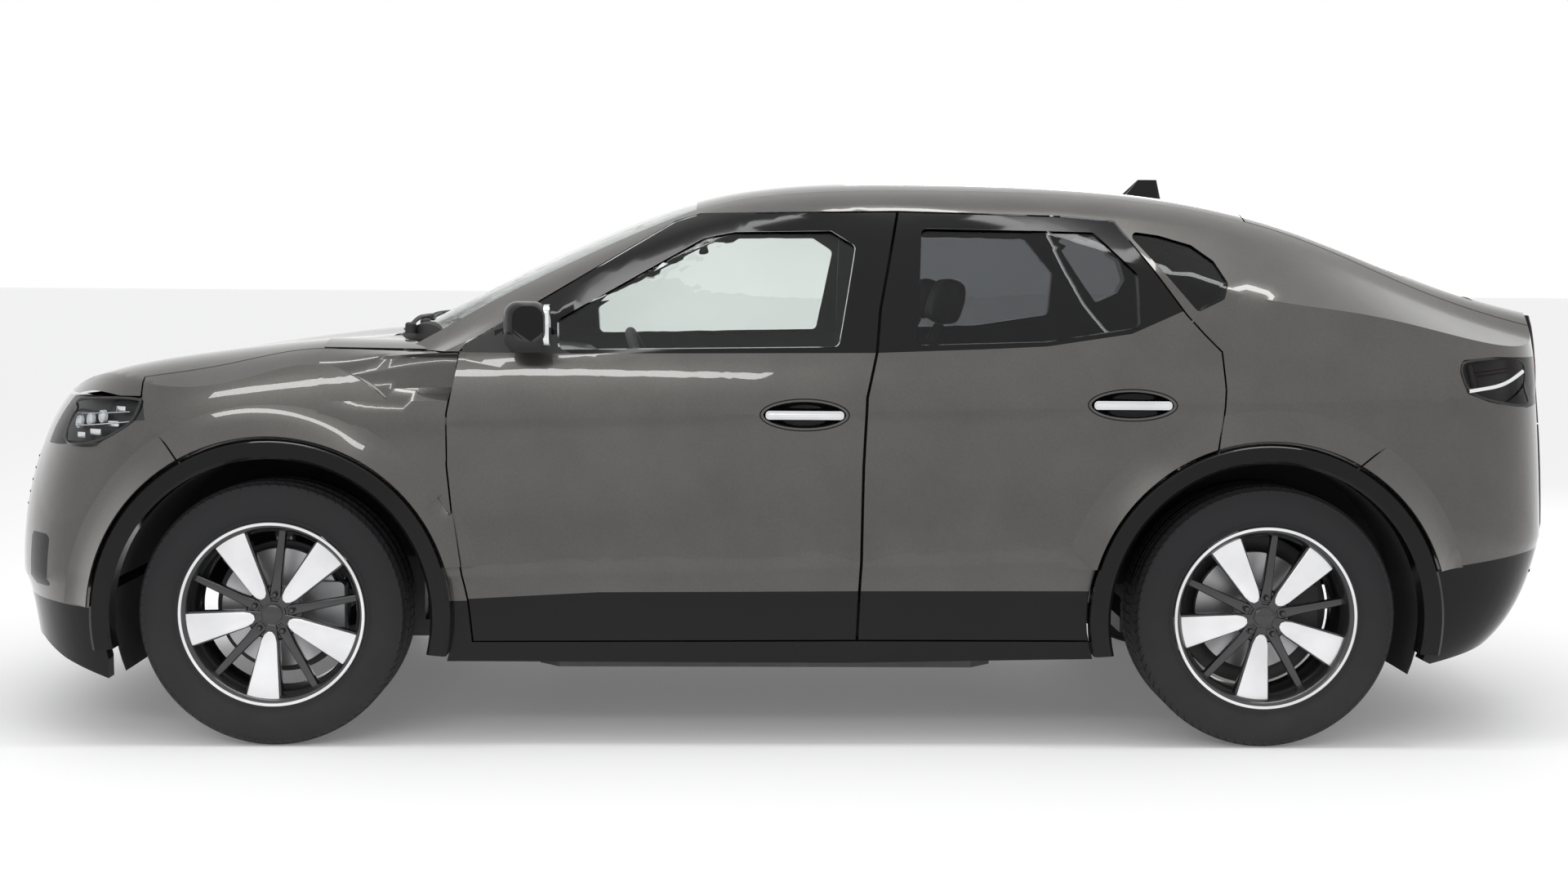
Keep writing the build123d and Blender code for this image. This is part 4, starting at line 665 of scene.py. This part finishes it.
# Panels over the bonnet's rear corners and the fender tops, which the solids leave too low
CORNER_X = FRONT_AXLE_X + 0.132
CORNER_INNER_Y = 0.56
BONNET_EDGE_Y = 0.795
BONNET_BOW_RADIUS = 1.546
BONNET_BOW_CENTRE_X = FRONT_AXLE_X + 1.753
COWL_ROOM = 0.011


def fender_edge(z):
    """Where the fender ends in front of the door at a height."""
    return FRONT_AXLE_X + 0.482 + 0.031 * max(0.0, z - 0.931) / 0.169


def from_above(panel, x, y, fallback):
    """The height of a panel at a place in plan view."""
    hit, place, _, _ = panel.ray_cast(Vector((x, y, 2.0)), Vector((0, 0, -1)))
    return place.z if hit else fallback


def sheet_of(name, rows, thickness, *materials):
    """A panel through rows of places, with a wall behind it."""
    bpy.ops.object.select_all(action="DESELECT")
    bpy.ops.mesh.primitive_grid_add(x_subdivisions=len(rows[0]) - 1, y_subdivisions=len(rows) - 1, size=1)
    panel = bpy.context.object
    panel.name = name
    places = [place for row in rows for place in row]
    for corner, place in zip(panel.data.vertices, places):
        corner.co = place
    wall = panel.modifiers.new("wall", "SOLIDIFY")
    wall.thickness = thickness
    wall.offset = -1
    bpy.ops.object.modifier_apply(modifier=wall.name)
    bpy.ops.object.mode_set(mode="EDIT")
    bpy.ops.mesh.select_all(action="SELECT")
    bpy.ops.mesh.normals_make_consistent(inside=False)
    bpy.ops.object.mode_set(mode="OBJECT")
    bpy.ops.object.shade_smooth_by_angle(angle=radians(40))
    return coat(panel, *materials)


bpy.context.view_layer.update()
fender, door_skin, lid = skins["front_fender_left"], skins["front_door_left"], skins["bonnet"]
front_run = [side_of(fender, CORNER_X, z) for z in (0.865, 0.90, 0.93, 0.96, 0.99, 1.01, 1.025)]
for y in (0.885, 0.870, 0.852, 0.832, 0.814, 0.8015):
    front_run.append(Vector((CORNER_X, -y, from_above(fender, CORNER_X, -y, 1.05))))
rear_heights = 0.800, 0.90, 0.93, 0.965, 1.00, 1.035, 1.060, 1.078, 1.090
rear_run = [side_of(door_skin, -0.932, z) for z in rear_heights]
rear_run[-1].y = rear_run[-2].y + 0.008
rear_crown = (-0.862, 1.0965), (-0.842, 1.0985), (-0.822, 1.0985), (-0.8015, 1.0985)
rear_run += [Vector((0, y, z)) for y, z in rear_crown]
rows = []
for low, far in zip(front_run, rear_run):
    row = []
    for n in range(13):
        share = n / 12
        blend = share * share * (3 - 2 * share)
        z = low.z + (far.z - low.z) * blend
        y = low.y + (far.y - low.y) * blend
        row.append(Vector((CORNER_X + (fender_edge(far.z) - CORNER_X) * share, y - 0.0004, z + 0.0004)))
    rows.append(row)
mirrored(sheet_of("fender_corner_left", rows, 0.003, PAINT), "body")

rows = []
for step in range(9):
    y = CORNER_INNER_Y + (BONNET_EDGE_Y - CORNER_INNER_Y) * step / 8
    weight = min(1.0, step / 3)
    start = from_above(lid, CORNER_X, -y, 1.10)
    # Bowed forward a little, so that the opened bonnet clears the cowl
    edge_x = BONNET_BOW_CENTRE_X - (BONNET_BOW_RADIUS ** 2 - y ** 2) ** 0.5 - COWL_ROOM * sin(pi * step / 8)
    row = []
    for n in range(11):
        x = CORNER_X + (edge_x - CORNER_X) * n / 10
        held = start - 0.014 * (x - CORNER_X)
        old = from_above(lid, x, -y, held)
        row.append(Vector((x, -y, old + (held - old) * weight + 0.0006)))
    rows.append(row)
mirrored(sheet_of("bonnet_corner_left", rows, 0.003, PAINT), "bonnet")


# Plates that close the corners between the lamps and the panels round them
gap = [side_of(skins[name], x, z) for name, x, z in (
    ("body_side_left", 1.849, 1.003), ("body_side_left", 1.8705, 1.057), ("tail_lamps", 1.8795, 1.055),
    ("rear_bumper", 1.902, 0.994), ("rear_bumper", 1.853, 0.994),
)]
mirrored(coat(plate("tail_lamp_corner_left", gap, (0, 0.005, 0)), PAINT), "body")
gap = [side_of(skins[name], x, z) for name, x, z in (
    ("headlamps", -1.802, 0.962), ("front_fender_left", -1.792, 0.972), ("front_fender_left", -1.779, 0.908),
    ("front_bumper", -1.784, 0.899), ("headlamps", -1.814, 0.905),
)]
for corner in gap:
    corner.y += 0.001
mirrored(coat(plate("headlamp_corner_left", gap, (0, 0.006, 0)), LAMP_BLACK), "body")

# Lower ends of the arch liners
LINER_RADIUS = 0.4445
LINER_OUTER_Y = 0.866
LINER_END_LOW_Z = 0.205
LINER_END_HEIGHT = 0.232
for name, axle_x, way, inner_y in (("front", FRONT_AXLE_X, -1, 0.46), ("rear", REAR_AXLE_X, 1, 0.62)):
    rows = []
    for y in (-LINER_OUTER_Y, -(LINER_OUTER_Y + inner_y) / 2, -inner_y):
        row = []
        for n in range(9):
            z = LINER_END_LOW_Z + LINER_END_HEIGHT * n / 8
            reach = (LINER_RADIUS ** 2 - (z - ARCH_CENTRE_Z) ** 2) ** 0.5
            row.append(Vector((axle_x + way * reach, y, z)))
        rows.append(row)
    mirrored(sheet_of(f"{name}_liner_end_left", rows, 0.0025, LINER_FELT), "body")

# Shields behind the brake discs: the front ones stay small enough to steer under the upper arms
for name, axle_x, wheel_y, z, body, radius in (
    ("front", FRONT_AXLE_X, -FRONT_WHEEL_Y, FRONT_TYRE_RADIUS, "knuckle_left", 0.188),
    ("rear", REAR_AXLE_X, -REAR_WHEEL_Y, REAR_TYRE_RADIUS, "body", 0.216),
):
    shield = turned(f"{name}_brake_shield_left", [
        (0.070, 0.0), (radius - 0.036, 0.0), (radius - 0.030, -0.004), (radius - 0.002, -0.004),
        (radius, -0.001), (radius - 0.002, 0.0015), (radius - 0.026, 0.0015), (radius - 0.032, 0.004),
        (0.070, 0.004),
    ])
    shield.data.transform(Matrix.Translation((axle_x, wheel_y + 0.052, z)))
    mirrored(coat(shield, CHASSIS), body)


# Painted flares round the arches: radii about the axle, the widest place and the lower end
FLARE_FOOT = 0.588
FLARE_CREST = 0.503
FLARE_TOP = 0.5005
FLARE_FACE = 0.9325
FLARE_END_Z = 0.505
NOSE_FLARE_END_Z = 0.392
SHUT_GAP_HALF = 0.0025


def outer_skin(names, x, z):
    """The place furthest out on any of the named left-hand panels at x and z."""
    return min((side_of(skins[name], x, z) for name in names), key=lambda place: place.y)


def flare(axle_x, names):
    """A closed ring that rises from the panels round an arch to the edge of its trim."""
    radii = [FLARE_TOP, FLARE_CREST, 0.520, 0.542, 0.566, FLARE_FOOT]
    profile = [(r, -0.93) for r in radii] + [(r, -0.92) for r in reversed(radii)]
    ring = turned("flare", profile, steps=120)
    for corner in ring.data.vertices:
        x, z = corner.co.x, corner.co.z
        radius = hypot(x, z)
        out = FLARE_FOOT / radius
        foot = outer_skin(names, axle_x + x * out, ARCH_CENTRE_Z + z * out)
        here = outer_skin(names, axle_x + x, ARCH_CENTRE_Z + z)
        share = max(0.0, min(1.0, (FLARE_FOOT - radius) / (FLARE_FOOT - FLARE_CREST)))
        rise = (-FLARE_FACE - foot.y) * share ** 1.35
        back = 0.004 if corner.co.y > -0.925 else 0.0
        edge = 0.0035 if radius < FLARE_TOP + 0.001 and not back else 0.0
        y = min(foot.y + rise, here.y - 0.0004 * share) + back + edge
        corner.co = (axle_x + x, y, ARCH_CENTRE_Z + z)
    return ring


def cut_off(piece, name, planes):
    """What is left of a copy after cuts, each through two side-view places, keeping what is behind it."""
    rest = copied(piece, name)
    alone(rest)
    bpy.ops.object.mode_set(mode="EDIT")
    for (x0, z0), (x1, z1) in planes:
        across = Vector((z0 - z1, 0, x1 - x0)).normalized()
        start = Vector((x0, 0, z0)) + across * SHUT_GAP_HALF
        bpy.ops.mesh.select_all(action="SELECT")
        bpy.ops.mesh.bisect(
            plane_co=start, plane_no=across, use_fill=True, clear_inner=True, threshold=0.00001,
        )
    bpy.ops.object.mode_set(mode="OBJECT")
    bpy.ops.object.shade_smooth_by_angle(angle=radians(30))
    return coat(rest, PAINT)


def over(z):
    """The cut that keeps what is above a height."""
    return (-3, z), (3, z)


# Each ring is split at the shut lines that it crosses: lamp or bumper to panel, and panel to door
FLARE_END = over(FLARE_END_Z)
whole = flare(FRONT_AXLE_X, ["front_bumper", "front_fender_left", "front_door_left"])
lamp_line = (FRONT_AXLE_X - 0.244, 0.798), (FRONT_AXLE_X - 0.350, 0.905)
door_line = (FRONT_AXLE_X + 0.4945, 0.70), (FRONT_AXLE_X + 0.535, 0.441)
for name, planes, body in (
    ("front_flare_nose_left", [over(NOSE_FLARE_END_Z), lamp_line], "body"),
    ("front_flare_fender_left", [FLARE_END, lamp_line[::-1], door_line[::-1]], "body"),
    ("front_flare_door_left", [FLARE_END, door_line], "front_door_left"),
):
    mirrored(cut_off(whole, name, planes), body)
bpy.data.objects.remove(whole)
whole = flare(REAR_AXLE_X, ["rear_bumper", "body_side_left", "rear_door_left"])
door_line = (REAR_AXLE_X - 0.137, 0.933), (REAR_AXLE_X - 0.152, 0.836)
tail_line = (REAR_AXLE_X + 0.247, 0.800), (REAR_AXLE_X + 0.337, 0.858)
for name, planes, body in (
    ("rear_flare_door_left", [FLARE_END, door_line[::-1]], "rear_door_left"),
    ("rear_flare_side_left", [FLARE_END, door_line, tail_line], "body"),
    ("rear_flare_tail_left", [FLARE_END, tail_line[::-1]], "body"),
):
    mirrored(cut_off(whole, name, planes), body)
bpy.data.objects.remove(whole)


MOST_RISE = 0.012
SEAM_WIDTH = 0.006
SEAM_DEPTH = 0.007
SHRINK = Vector((0.94, 0.965, 0.93))


def pad(name, outline, y, width, channels, rows):
    """A sewn cushion: a block drawn small, blown up as cloth, then pressed in along its seams."""
    middle_x, middle_z = (sum(values) / len(outline) for values in zip(*outline))
    middle = Vector((middle_x, y, middle_z))
    low_z = min(z for _, z in outline)
    soft = plate(name, [(x, y - width / 2, z) for x, z in outline], (0, width, 0), 0.028, 4)
    for corner in soft.data.vertices:
        corner.co = middle + (corner.co - middle) * SHRINK
    alone(soft)
    cover = soft.modifiers.new("cover", "REMESH")
    cover.mode = "VOXEL"
    cover.voxel_size = 0.009
    bpy.ops.object.modifier_apply(modifier=cover.name)
    before = [corner.co.copy() for corner in soft.data.vertices]
    air = soft.modifiers.new("air", "CLOTH")
    air.settings.use_pressure = True
    air.settings.uniform_pressure_force = 4
    air.settings.effector_weights.gravity = 0
    for step in range(1, 21):
        bpy.context.scene.frame_set(step)
    bpy.ops.object.modifier_apply(modifier=air.name)
    bpy.context.scene.frame_set(1)
    for corner, start in zip(soft.data.vertices, before):
        moved = corner.co - start
        if moved.length > MOST_RISE:
            corner.co = start + moved.normalized() * MOST_RISE
        corner.co.z = max(corner.co.z, low_z)
    finer = soft.modifiers.new("finer", "SUBSURF")
    finer.levels = finer.render_levels = 1
    bpy.ops.object.modifier_apply(modifier=finer.name)
    facing = [corner.normal.copy() for corner in soft.data.vertices]
    along = Vector((outline[1][0] - outline[2][0], 0, outline[1][1] - outline[2][1])).normalized()
    for corner, way in zip(soft.data.vertices, facing):
        press = sum(exp(-((corner.co.y - y - line) / SEAM_WIDTH) ** 2) for line in channels)
        far = (corner.co - middle).dot(along)
        if channels and abs(corner.co.y - y) < abs(channels[0]):
            press += sum(exp(-((far - line) / SEAM_WIDTH) ** 2) for line in rows)
        corner.co -= way * SEAM_DEPTH * min(1.0, press)
    bpy.ops.object.shade_smooth()
    coat(soft, SEAT_HIDE)
    return soft


# Each cushion's outline in the side view, as x and z, and in SEATS its middle, width and seams
CUSHION = [(-0.212, 0.506), (-0.222, 0.620), (0.238, 0.590), (0.238, 0.506)]
BACKREST = [(0.243, 0.560), (0.378, 1.130), (0.478, 1.120), (0.373, 0.520)]
HEADREST = [(0.413, 1.180), (0.458, 1.320), (0.538, 1.300), (0.508, 1.165)]
BENCH = [(0.600, 0.4373), (0.590, 0.615), (1.063, 0.590), (1.063, 0.4373)]
BENCH_BACK = [(1.157, 0.6473), (1.077, 0.690), (1.207, 1.112), (1.313, 1.100), (1.240, 0.6473)]
SEATS = {
    "front_seats": [
        ("seat_cushion", CUSHION, 0.370, 0.500, (-0.160, 0.160), (-0.10, -0.02, 0.06, 0.14)),
        ("seat_back", BACKREST, 0.370, 0.500, (-0.150, 0.150), ()),
        ("headrest", HEADREST, 0.370, 0.270, (), ()),
    ],
    "rear_bench": [
        ("bench_cushion", BENCH, 0.297, 0.590, (-0.200, 0.200), (-0.08, 0.02, 0.12)),
        ("bench_back", BENCH_BACK, 0.290, 0.576, (-0.200, 0.200), ()),
    ],
}
for node_name, cushions in SEATS.items():
    for name, outline, y, width, channels, rows in cushions:
        cushion = pad(f"{name}_right", outline, y, width, channels, rows)
        twin = copied(cushion, f"{name}_left", flip=True)
        for piece in (cushion, twin):
            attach(piece, "body")
            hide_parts(node_name)


def seen_from(panel, start, way):
    """The first place that a straight look meets a panel."""
    hit, place, _, _ = panel.ray_cast(Vector(start), Vector(way))
    return place if hit else Vector(start)


for name, pivot_y, tip_y in (("wiper_left", -0.60, -0.02), ("wiper_right", 0.02, 0.56)):
    blade = []
    for n in range(7):
        y = pivot_y + 0.05 + (tip_y - pivot_y - 0.05) * n / 6
        low_edge_x = -0.985 - 0.10 * (1 - (y / 0.75) ** 2)
        foot = seen_from(skins["windscreen"], (low_edge_x, y, 2.0), (0, 0, -1))
        blade.append(foot + Vector((-0.004, 0, 0.008)))
    parts = [coat(strip("blade", blade, 0.011), MATTE_BLACK)]
    arm = [blade[0] + Vector((-0.055, -0.05, -0.028)), blade[0] + Vector((-0.045, 0.0, -0.004)),
           blade[2] + Vector((-0.012, 0, 0.010)), blade[3] + Vector((-0.002, 0, 0.010))]
    parts.append(coat(strip("arm", arm, 0.013), MATTE_BLACK))
    cap = turned("cap", [
        (0.0, -0.012), (0.012, -0.011), (0.016, -0.006), (0.017, 0.020), (0.0, 0.020),
    ], steps=32)
    cap.data.transform(Matrix.Translation(arm[0]) @ Matrix.Rotation(radians(-90), 4, "X"))
    parts.append(coat(cap, MATTE_BLACK))
    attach(joined(parts, name), "body")

SLAT_LOW_Z, SLAT_STEP = 0.632, 0.035
SUNK_SLAT = Vector((0.003, 0, 0))
slats = []
for row in range(5):
    z = SLAT_LOW_Z + SLAT_STEP * row
    run = [
        seen_from(skins["grille_panels"], (-3, -0.50 + 0.125 * n, z), (1, 0, 0)) + SUNK_SLAT for n in range(9)
    ]
    slats.append(coat(strip("slat", run, 0.010), GLOSS_BLACK))
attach(joined(slats, "grille_slats"), "body")

PLATE_HALF_WIDTH, PLATE_HALF_HEIGHT = 0.26, 0.055
middle, above, below = (
    seen_from(skins["tailgate"], (3, 0, z), (-1, 0, 0)) for z in (0.955, 1.005, 0.905)
)
lean = (above - below).normalized()
corners = [
    middle + Vector((0.004, across * PLATE_HALF_WIDTH, 0)) + lean * up * PLATE_HALF_HEIGHT
    for across, up in ((-1, -1), (1, -1), (1, 1), (-1, 1))
]
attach(coat(plate("rear_plate", corners, (-0.010, 0, 0), 0.0012), PLATE), "tailgate")

REFLECTOR_Z = 0.470
SUNK_REFLECTOR = Vector((-0.006, 0, 0))
for side in (-1, 1):
    run = []
    for n in range(5):
        start = 3.0, side * (0.52 + 0.03 * n), REFLECTOR_Z
        run.append(seen_from(skins["rear_bumper_low"], start, (-1, 0, 0)) + SUNK_REFLECTOR)
    marker = coat(strip(f"reflector_{side + 1}", run, 0.016), RED_LENS)
    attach(marker, "body")


RIM_EDGE = 0.259
TREAD_DEPTH = 0.007
BLADES = 5
FIRST_BLADE = 47
WHEELS = {
    "front_left": (FRONT_AXLE_X, -FRONT_WHEEL_Y, FRONT_TYRE_RADIUS, FRONT_TYRE_WIDTH),
    "front_right": (FRONT_AXLE_X, FRONT_WHEEL_Y, FRONT_TYRE_RADIUS, FRONT_TYRE_WIDTH),
    "rear_left": (REAR_AXLE_X, -REAR_WHEEL_Y, REAR_TYRE_RADIUS, REAR_TYRE_WIDTH),
    "rear_right": (REAR_AXLE_X, REAR_WHEEL_Y, REAR_TYRE_RADIUS, REAR_TYRE_WIDTH),
}


def tyre(radius, width):
    """A road tyre about the origin: ribbed and siped tread, rounded sidewalls."""
    half = width / 2
    tread = half - 0.030
    ribs = [tread - 0.042, tread - 0.050, 0.026, 0.018]
    base = radius - TREAD_DEPTH
    right = [(base, y) for y in reversed(ribs)] + [
        (base, tread - 0.003), (base - 0.001, tread + 0.005), (radius - 0.016, half - 0.011),
        (radius - 0.040, half - 0.002), (radius - 0.062, half), (RIM_EDGE + 0.022, half - 0.004),
        (RIM_EDGE + 0.010, half - 0.009), (RIM_EDGE + 0.001, half - 0.008),
    ]
    left = [(r, -y) for r, y in reversed(right)]
    ring = turned("tyre", right + left, steps=84)
    alone(ring)
    bpy.ops.object.mode_set(mode="EDIT")
    for y in (-tread + 0.003, -0.024, 0.024, tread - 0.003):
        pick(ring, lambda v: abs(v.co.y - y) < 0.012 and hypot(v.co.x, v.co.z) > base - 0.006, "VERT")
        bpy.ops.transform.rotate(value=abs(y) * 0.5, orient_axis="Y", center_override=(0, 0, 0))

    def is_rib(face):
        """True on the tread blocks between the grooves."""
        y = abs(face.calc_center_median().y)
        outward = hypot(face.normal.x, face.normal.z) > 0.6
        groove = ribs[1] < y < ribs[0] or ribs[3] < y < ribs[2]
        return outward and not groove and face.calc_center_median().xz.length > base - 0.012

    pick(ring, is_rib)
    bpy.ops.mesh.inset(thickness=0.0013, depth=TREAD_DEPTH - 0.0005, use_individual=True)
    bpy.ops.object.mode_set(mode="OBJECT")
    bpy.ops.object.shade_smooth_by_angle(angle=radians(25))
    return coat(ring, RUBBER)


def rim(width):
    """A wheel about the origin that faces -Y: barrel, wide machined blades, thin spokes and hub."""
    half = width / 2 - 0.004
    face = -0.100
    barrel = coat(turned("barrel", [
        (RIM_EDGE, -half), (RIM_EDGE - 0.002, -half + 0.008), (0.240, -half + 0.016), (0.236, -half + 0.050),
        (0.236, half - 0.060), (0.243, half - 0.015), (RIM_EDGE, half), (RIM_EDGE - 0.011, half),
        (0.232, half - 0.060), (0.225, half - 0.064), (0.225, -half + 0.050), (0.236, -half + 0.012),
        (0.246, -half + 0.002), (0.250, -half),
    ]), RIM_BLACK)
    lip = coat(turned("lip", [
        (0.2565, -half - 0.0008), (0.2565, -half + 0.002), (0.2495, -half + 0.002), (0.2490, -half - 0.0004),
    ], steps=120), MACHINED)
    parts = [barrel, lip]
    # Outlines as radius and half width: the dark spoke, the machined blade on it, the thin rib between
    carrier = [
        (0.030, -0.013), (0.076, -0.0245), (0.2465, -0.0530), (0.2465, 0.0530), (0.076, 0.0245), (0.030, 0.013),
    ]
    blade = [
        (0.049, -0.006), (0.058, -0.0150), (0.076, -0.0215), (0.2555, -0.0490), (0.2575, 0.0),
        (0.2555, 0.0490), (0.076, 0.0215), (0.058, 0.0150), (0.049, 0.006),
    ]
    thin = [(0.040, -0.018), (0.100, -0.013), (0.238, -0.010), (0.238, 0.010), (0.100, 0.013), (0.040, 0.018)]
    for number in range(BLADES):
        angle = -radians(FIRST_BLADE + 360 / BLADES * number)
        between = angle - radians(180 / BLADES)
        under = plate("spoke", [(r, face + 0.004, t) for r, t in carrier], (0, 0.030, 0), 0.004)
        parts.append(coat(under, RIM_BLACK))
        under.data.transform(Matrix.Rotation(angle, 4, "Y"))
        top = plate("blade", [(r, face + 0.004, t) for r, t in blade], (0, -0.007, 0), 0.0022, 3)
        for corner in top.data.vertices:
            corner.co.y -= 0.006 * (1 - abs(corner.co.x - 0.11) / 0.15) * max(0, 1 - abs(corner.co.z) / 0.05)
        parts.append(coat(top, MACHINED))
        top.data.transform(Matrix.Rotation(angle, 4, "Y"))
        rib = plate("rib", [(r, face + 0.008, t) for r, t in thin], (0, 0.026, 0), 0.005, 3)
        parts.append(coat(rib, RIM_BLACK))
        rib.data.transform(Matrix.Rotation(between, 4, "Y"))
        nut = coat(turned("nut", [
            (0.0, face - 0.006), (0.0060, face - 0.006), (0.0085, face - 0.003), (0.0090, face + 0.012),
            (0.0, face + 0.012),
        ], steps=6), RIM_BLACK)
        nut.data.transform(Matrix.Translation((0.054 * cos(between), 0, -0.054 * sin(between))))
        parts.append(nut)
    hub = coat(turned("hub", [
        (0.0, face - 0.001), (0.022, face - 0.001), (0.0265, face + 0.002), (0.0275, face + 0.006),
        (0.034, face + 0.007), (0.036, face + 0.010), (0.072, face + 0.014), (0.078, face + 0.020),
        (0.078, face + 0.036), (0.062, face + 0.040), (0.062, 0.044), (0.0, 0.044),
    ], steps=60), RIM_BLACK)
    parts.append(hub)
    inner, outer = 0.018, 0.044
    disc = coat(turned("disc", [
        (0.062, inner), (0.090, inner), (0.096, inner + 0.0001), (0.168, inner), (0.168, inner + 0.009),
        (0.160, inner + 0.009), (0.160, outer - 0.009), (0.168, outer - 0.009), (0.168, outer),
        (0.062, outer),
    ]), DISC_STEEL)
    parts.append(disc)
    return joined(parts, "rim")


for place, (x, y, z, width) in WHEELS.items():
    rubber = tyre(z, width)
    rubber.name = f"tyre_{place}_tread"
    metal = rim(width)
    metal.name = f"rim_{place}_wheel"
    if y > 0:
        for piece in (rubber, metal):
            piece.data.transform(Matrix.Scale(-1, 4, (0, 1, 0)))
            piece.data.flip_normals()
    for piece, node_name in ((rubber, f"tyre_{place}"), (metal, f"rim_{place}")):
        piece.data.transform(Matrix.Translation((x, y, z)))
        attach(piece, f"wheel_{place}")
        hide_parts(node_name)


def stage_material(name, color, roughness, glow):
    """A plain finish for the stage, a little bright by itself."""
    made = bpy.data.materials.new(name)
    made.use_nodes = True
    shader = made.node_tree.nodes["Principled BSDF"]
    shader.inputs["Base Color"].default_value = (*color, 1)
    shader.inputs["Roughness"].default_value = roughness
    shader.inputs["Emission Color"].default_value = (1, 1, 1, 1)
    shader.inputs["Emission Strength"].default_value = glow
    return made


bpy.ops.object.select_all(action="DESELECT")
bpy.ops.mesh.primitive_plane_add(size=240)
floor = bpy.context.object
floor.name = "floor"
coat(floor, stage_material("pale_floor", (0.86, 0.86, 0.865), 0.7, glow=0.12))
floor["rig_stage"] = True

# The backdrop is white to the eye, in reflections and through glass, and a little dimmer as a light
world = bpy.data.worlds.new("studio")
world.use_nodes = True
bpy.context.scene.world = world
sky = world.node_tree
back = sky.nodes["Background"]
back.inputs["Color"].default_value = (1, 1, 1, 1)
rays = node(sky, "ShaderNodeLightPath")
seen = node(sky, "ShaderNodeMath", operation="MAXIMUM")
seen_too = node(sky, "ShaderNodeMath", operation="MAXIMUM")
level = node(sky, "ShaderNodeMapRange")
level.inputs["To Min"].default_value = 0.85
level.inputs["To Max"].default_value = 1.0
wire(
    sky, (rays, "Is Camera Ray", seen, 0), (rays, "Is Glossy Ray", seen, 1),
    (seen, "Value", seen_too, 0), (rays, "Is Transmission Ray", seen_too, 1),
    (seen_too, "Value", level, "Value"), (level, "Result", back, "Strength"),
)


def softbox(name, place, aim, size, power):
    """A soft lamp that points at a place."""
    lamp = bpy.data.lights.new(name, "AREA")
    lamp.shape = "RECTANGLE"
    lamp.size, lamp.size_y = size
    lamp.energy = power
    light = bpy.data.objects.new(name, lamp)
    light.location = place
    light.rotation_euler = (Vector(aim) - Vector(place)).to_track_quat("-Z", "Y").to_euler()
    bpy.context.scene.collection.objects.link(light)


softbox("top_light", (0.2, -1.2, 4.6), (0.2, 0, 0.6), (6.0, 0.5), 90)
softbox("left_light", (-2.2, -6.0, 3.6), (0, 0, 0.7), (4.5, 0.35), 50)
softbox("right_light", (2.6, 6.0, 3.4), (0, 0, 0.7), (4.5, 0.6), 50)

# The camera that was fitted to the photograph
SENSOR_WIDTH = 36
PICTURE_WIDTH = 1920
FOCAL_PIXELS = 2489.3
CAMERA_PLACE = (-0.1475, -6.5, 1.3265)
CAMERA_TURN, CAMERA_DOWN, CAMERA_ROLL = -1.332, 4.762, 0.412
lens = bpy.data.cameras.new("camera")
lens.sensor_width = SENSOR_WIDTH
lens.lens = SENSOR_WIDTH * FOCAL_PIXELS / PICTURE_WIDTH
camera = bpy.data.objects.new("camera", lens)
bpy.context.scene.collection.objects.link(camera)
camera.rotation_mode = "QUATERNION"
camera.location = CAMERA_PLACE
camera.rotation_quaternion = (
    Matrix.Rotation(radians(CAMERA_TURN), 3, "Z")
    @ Matrix.Rotation(radians(90 - CAMERA_DOWN), 3, "X")
    @ Matrix.Rotation(radians(CAMERA_ROLL), 3, "Z")
).to_quaternion()
bpy.context.scene.camera = camera
bpy.context.scene.view_settings.view_transform = "Standard"

low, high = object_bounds()
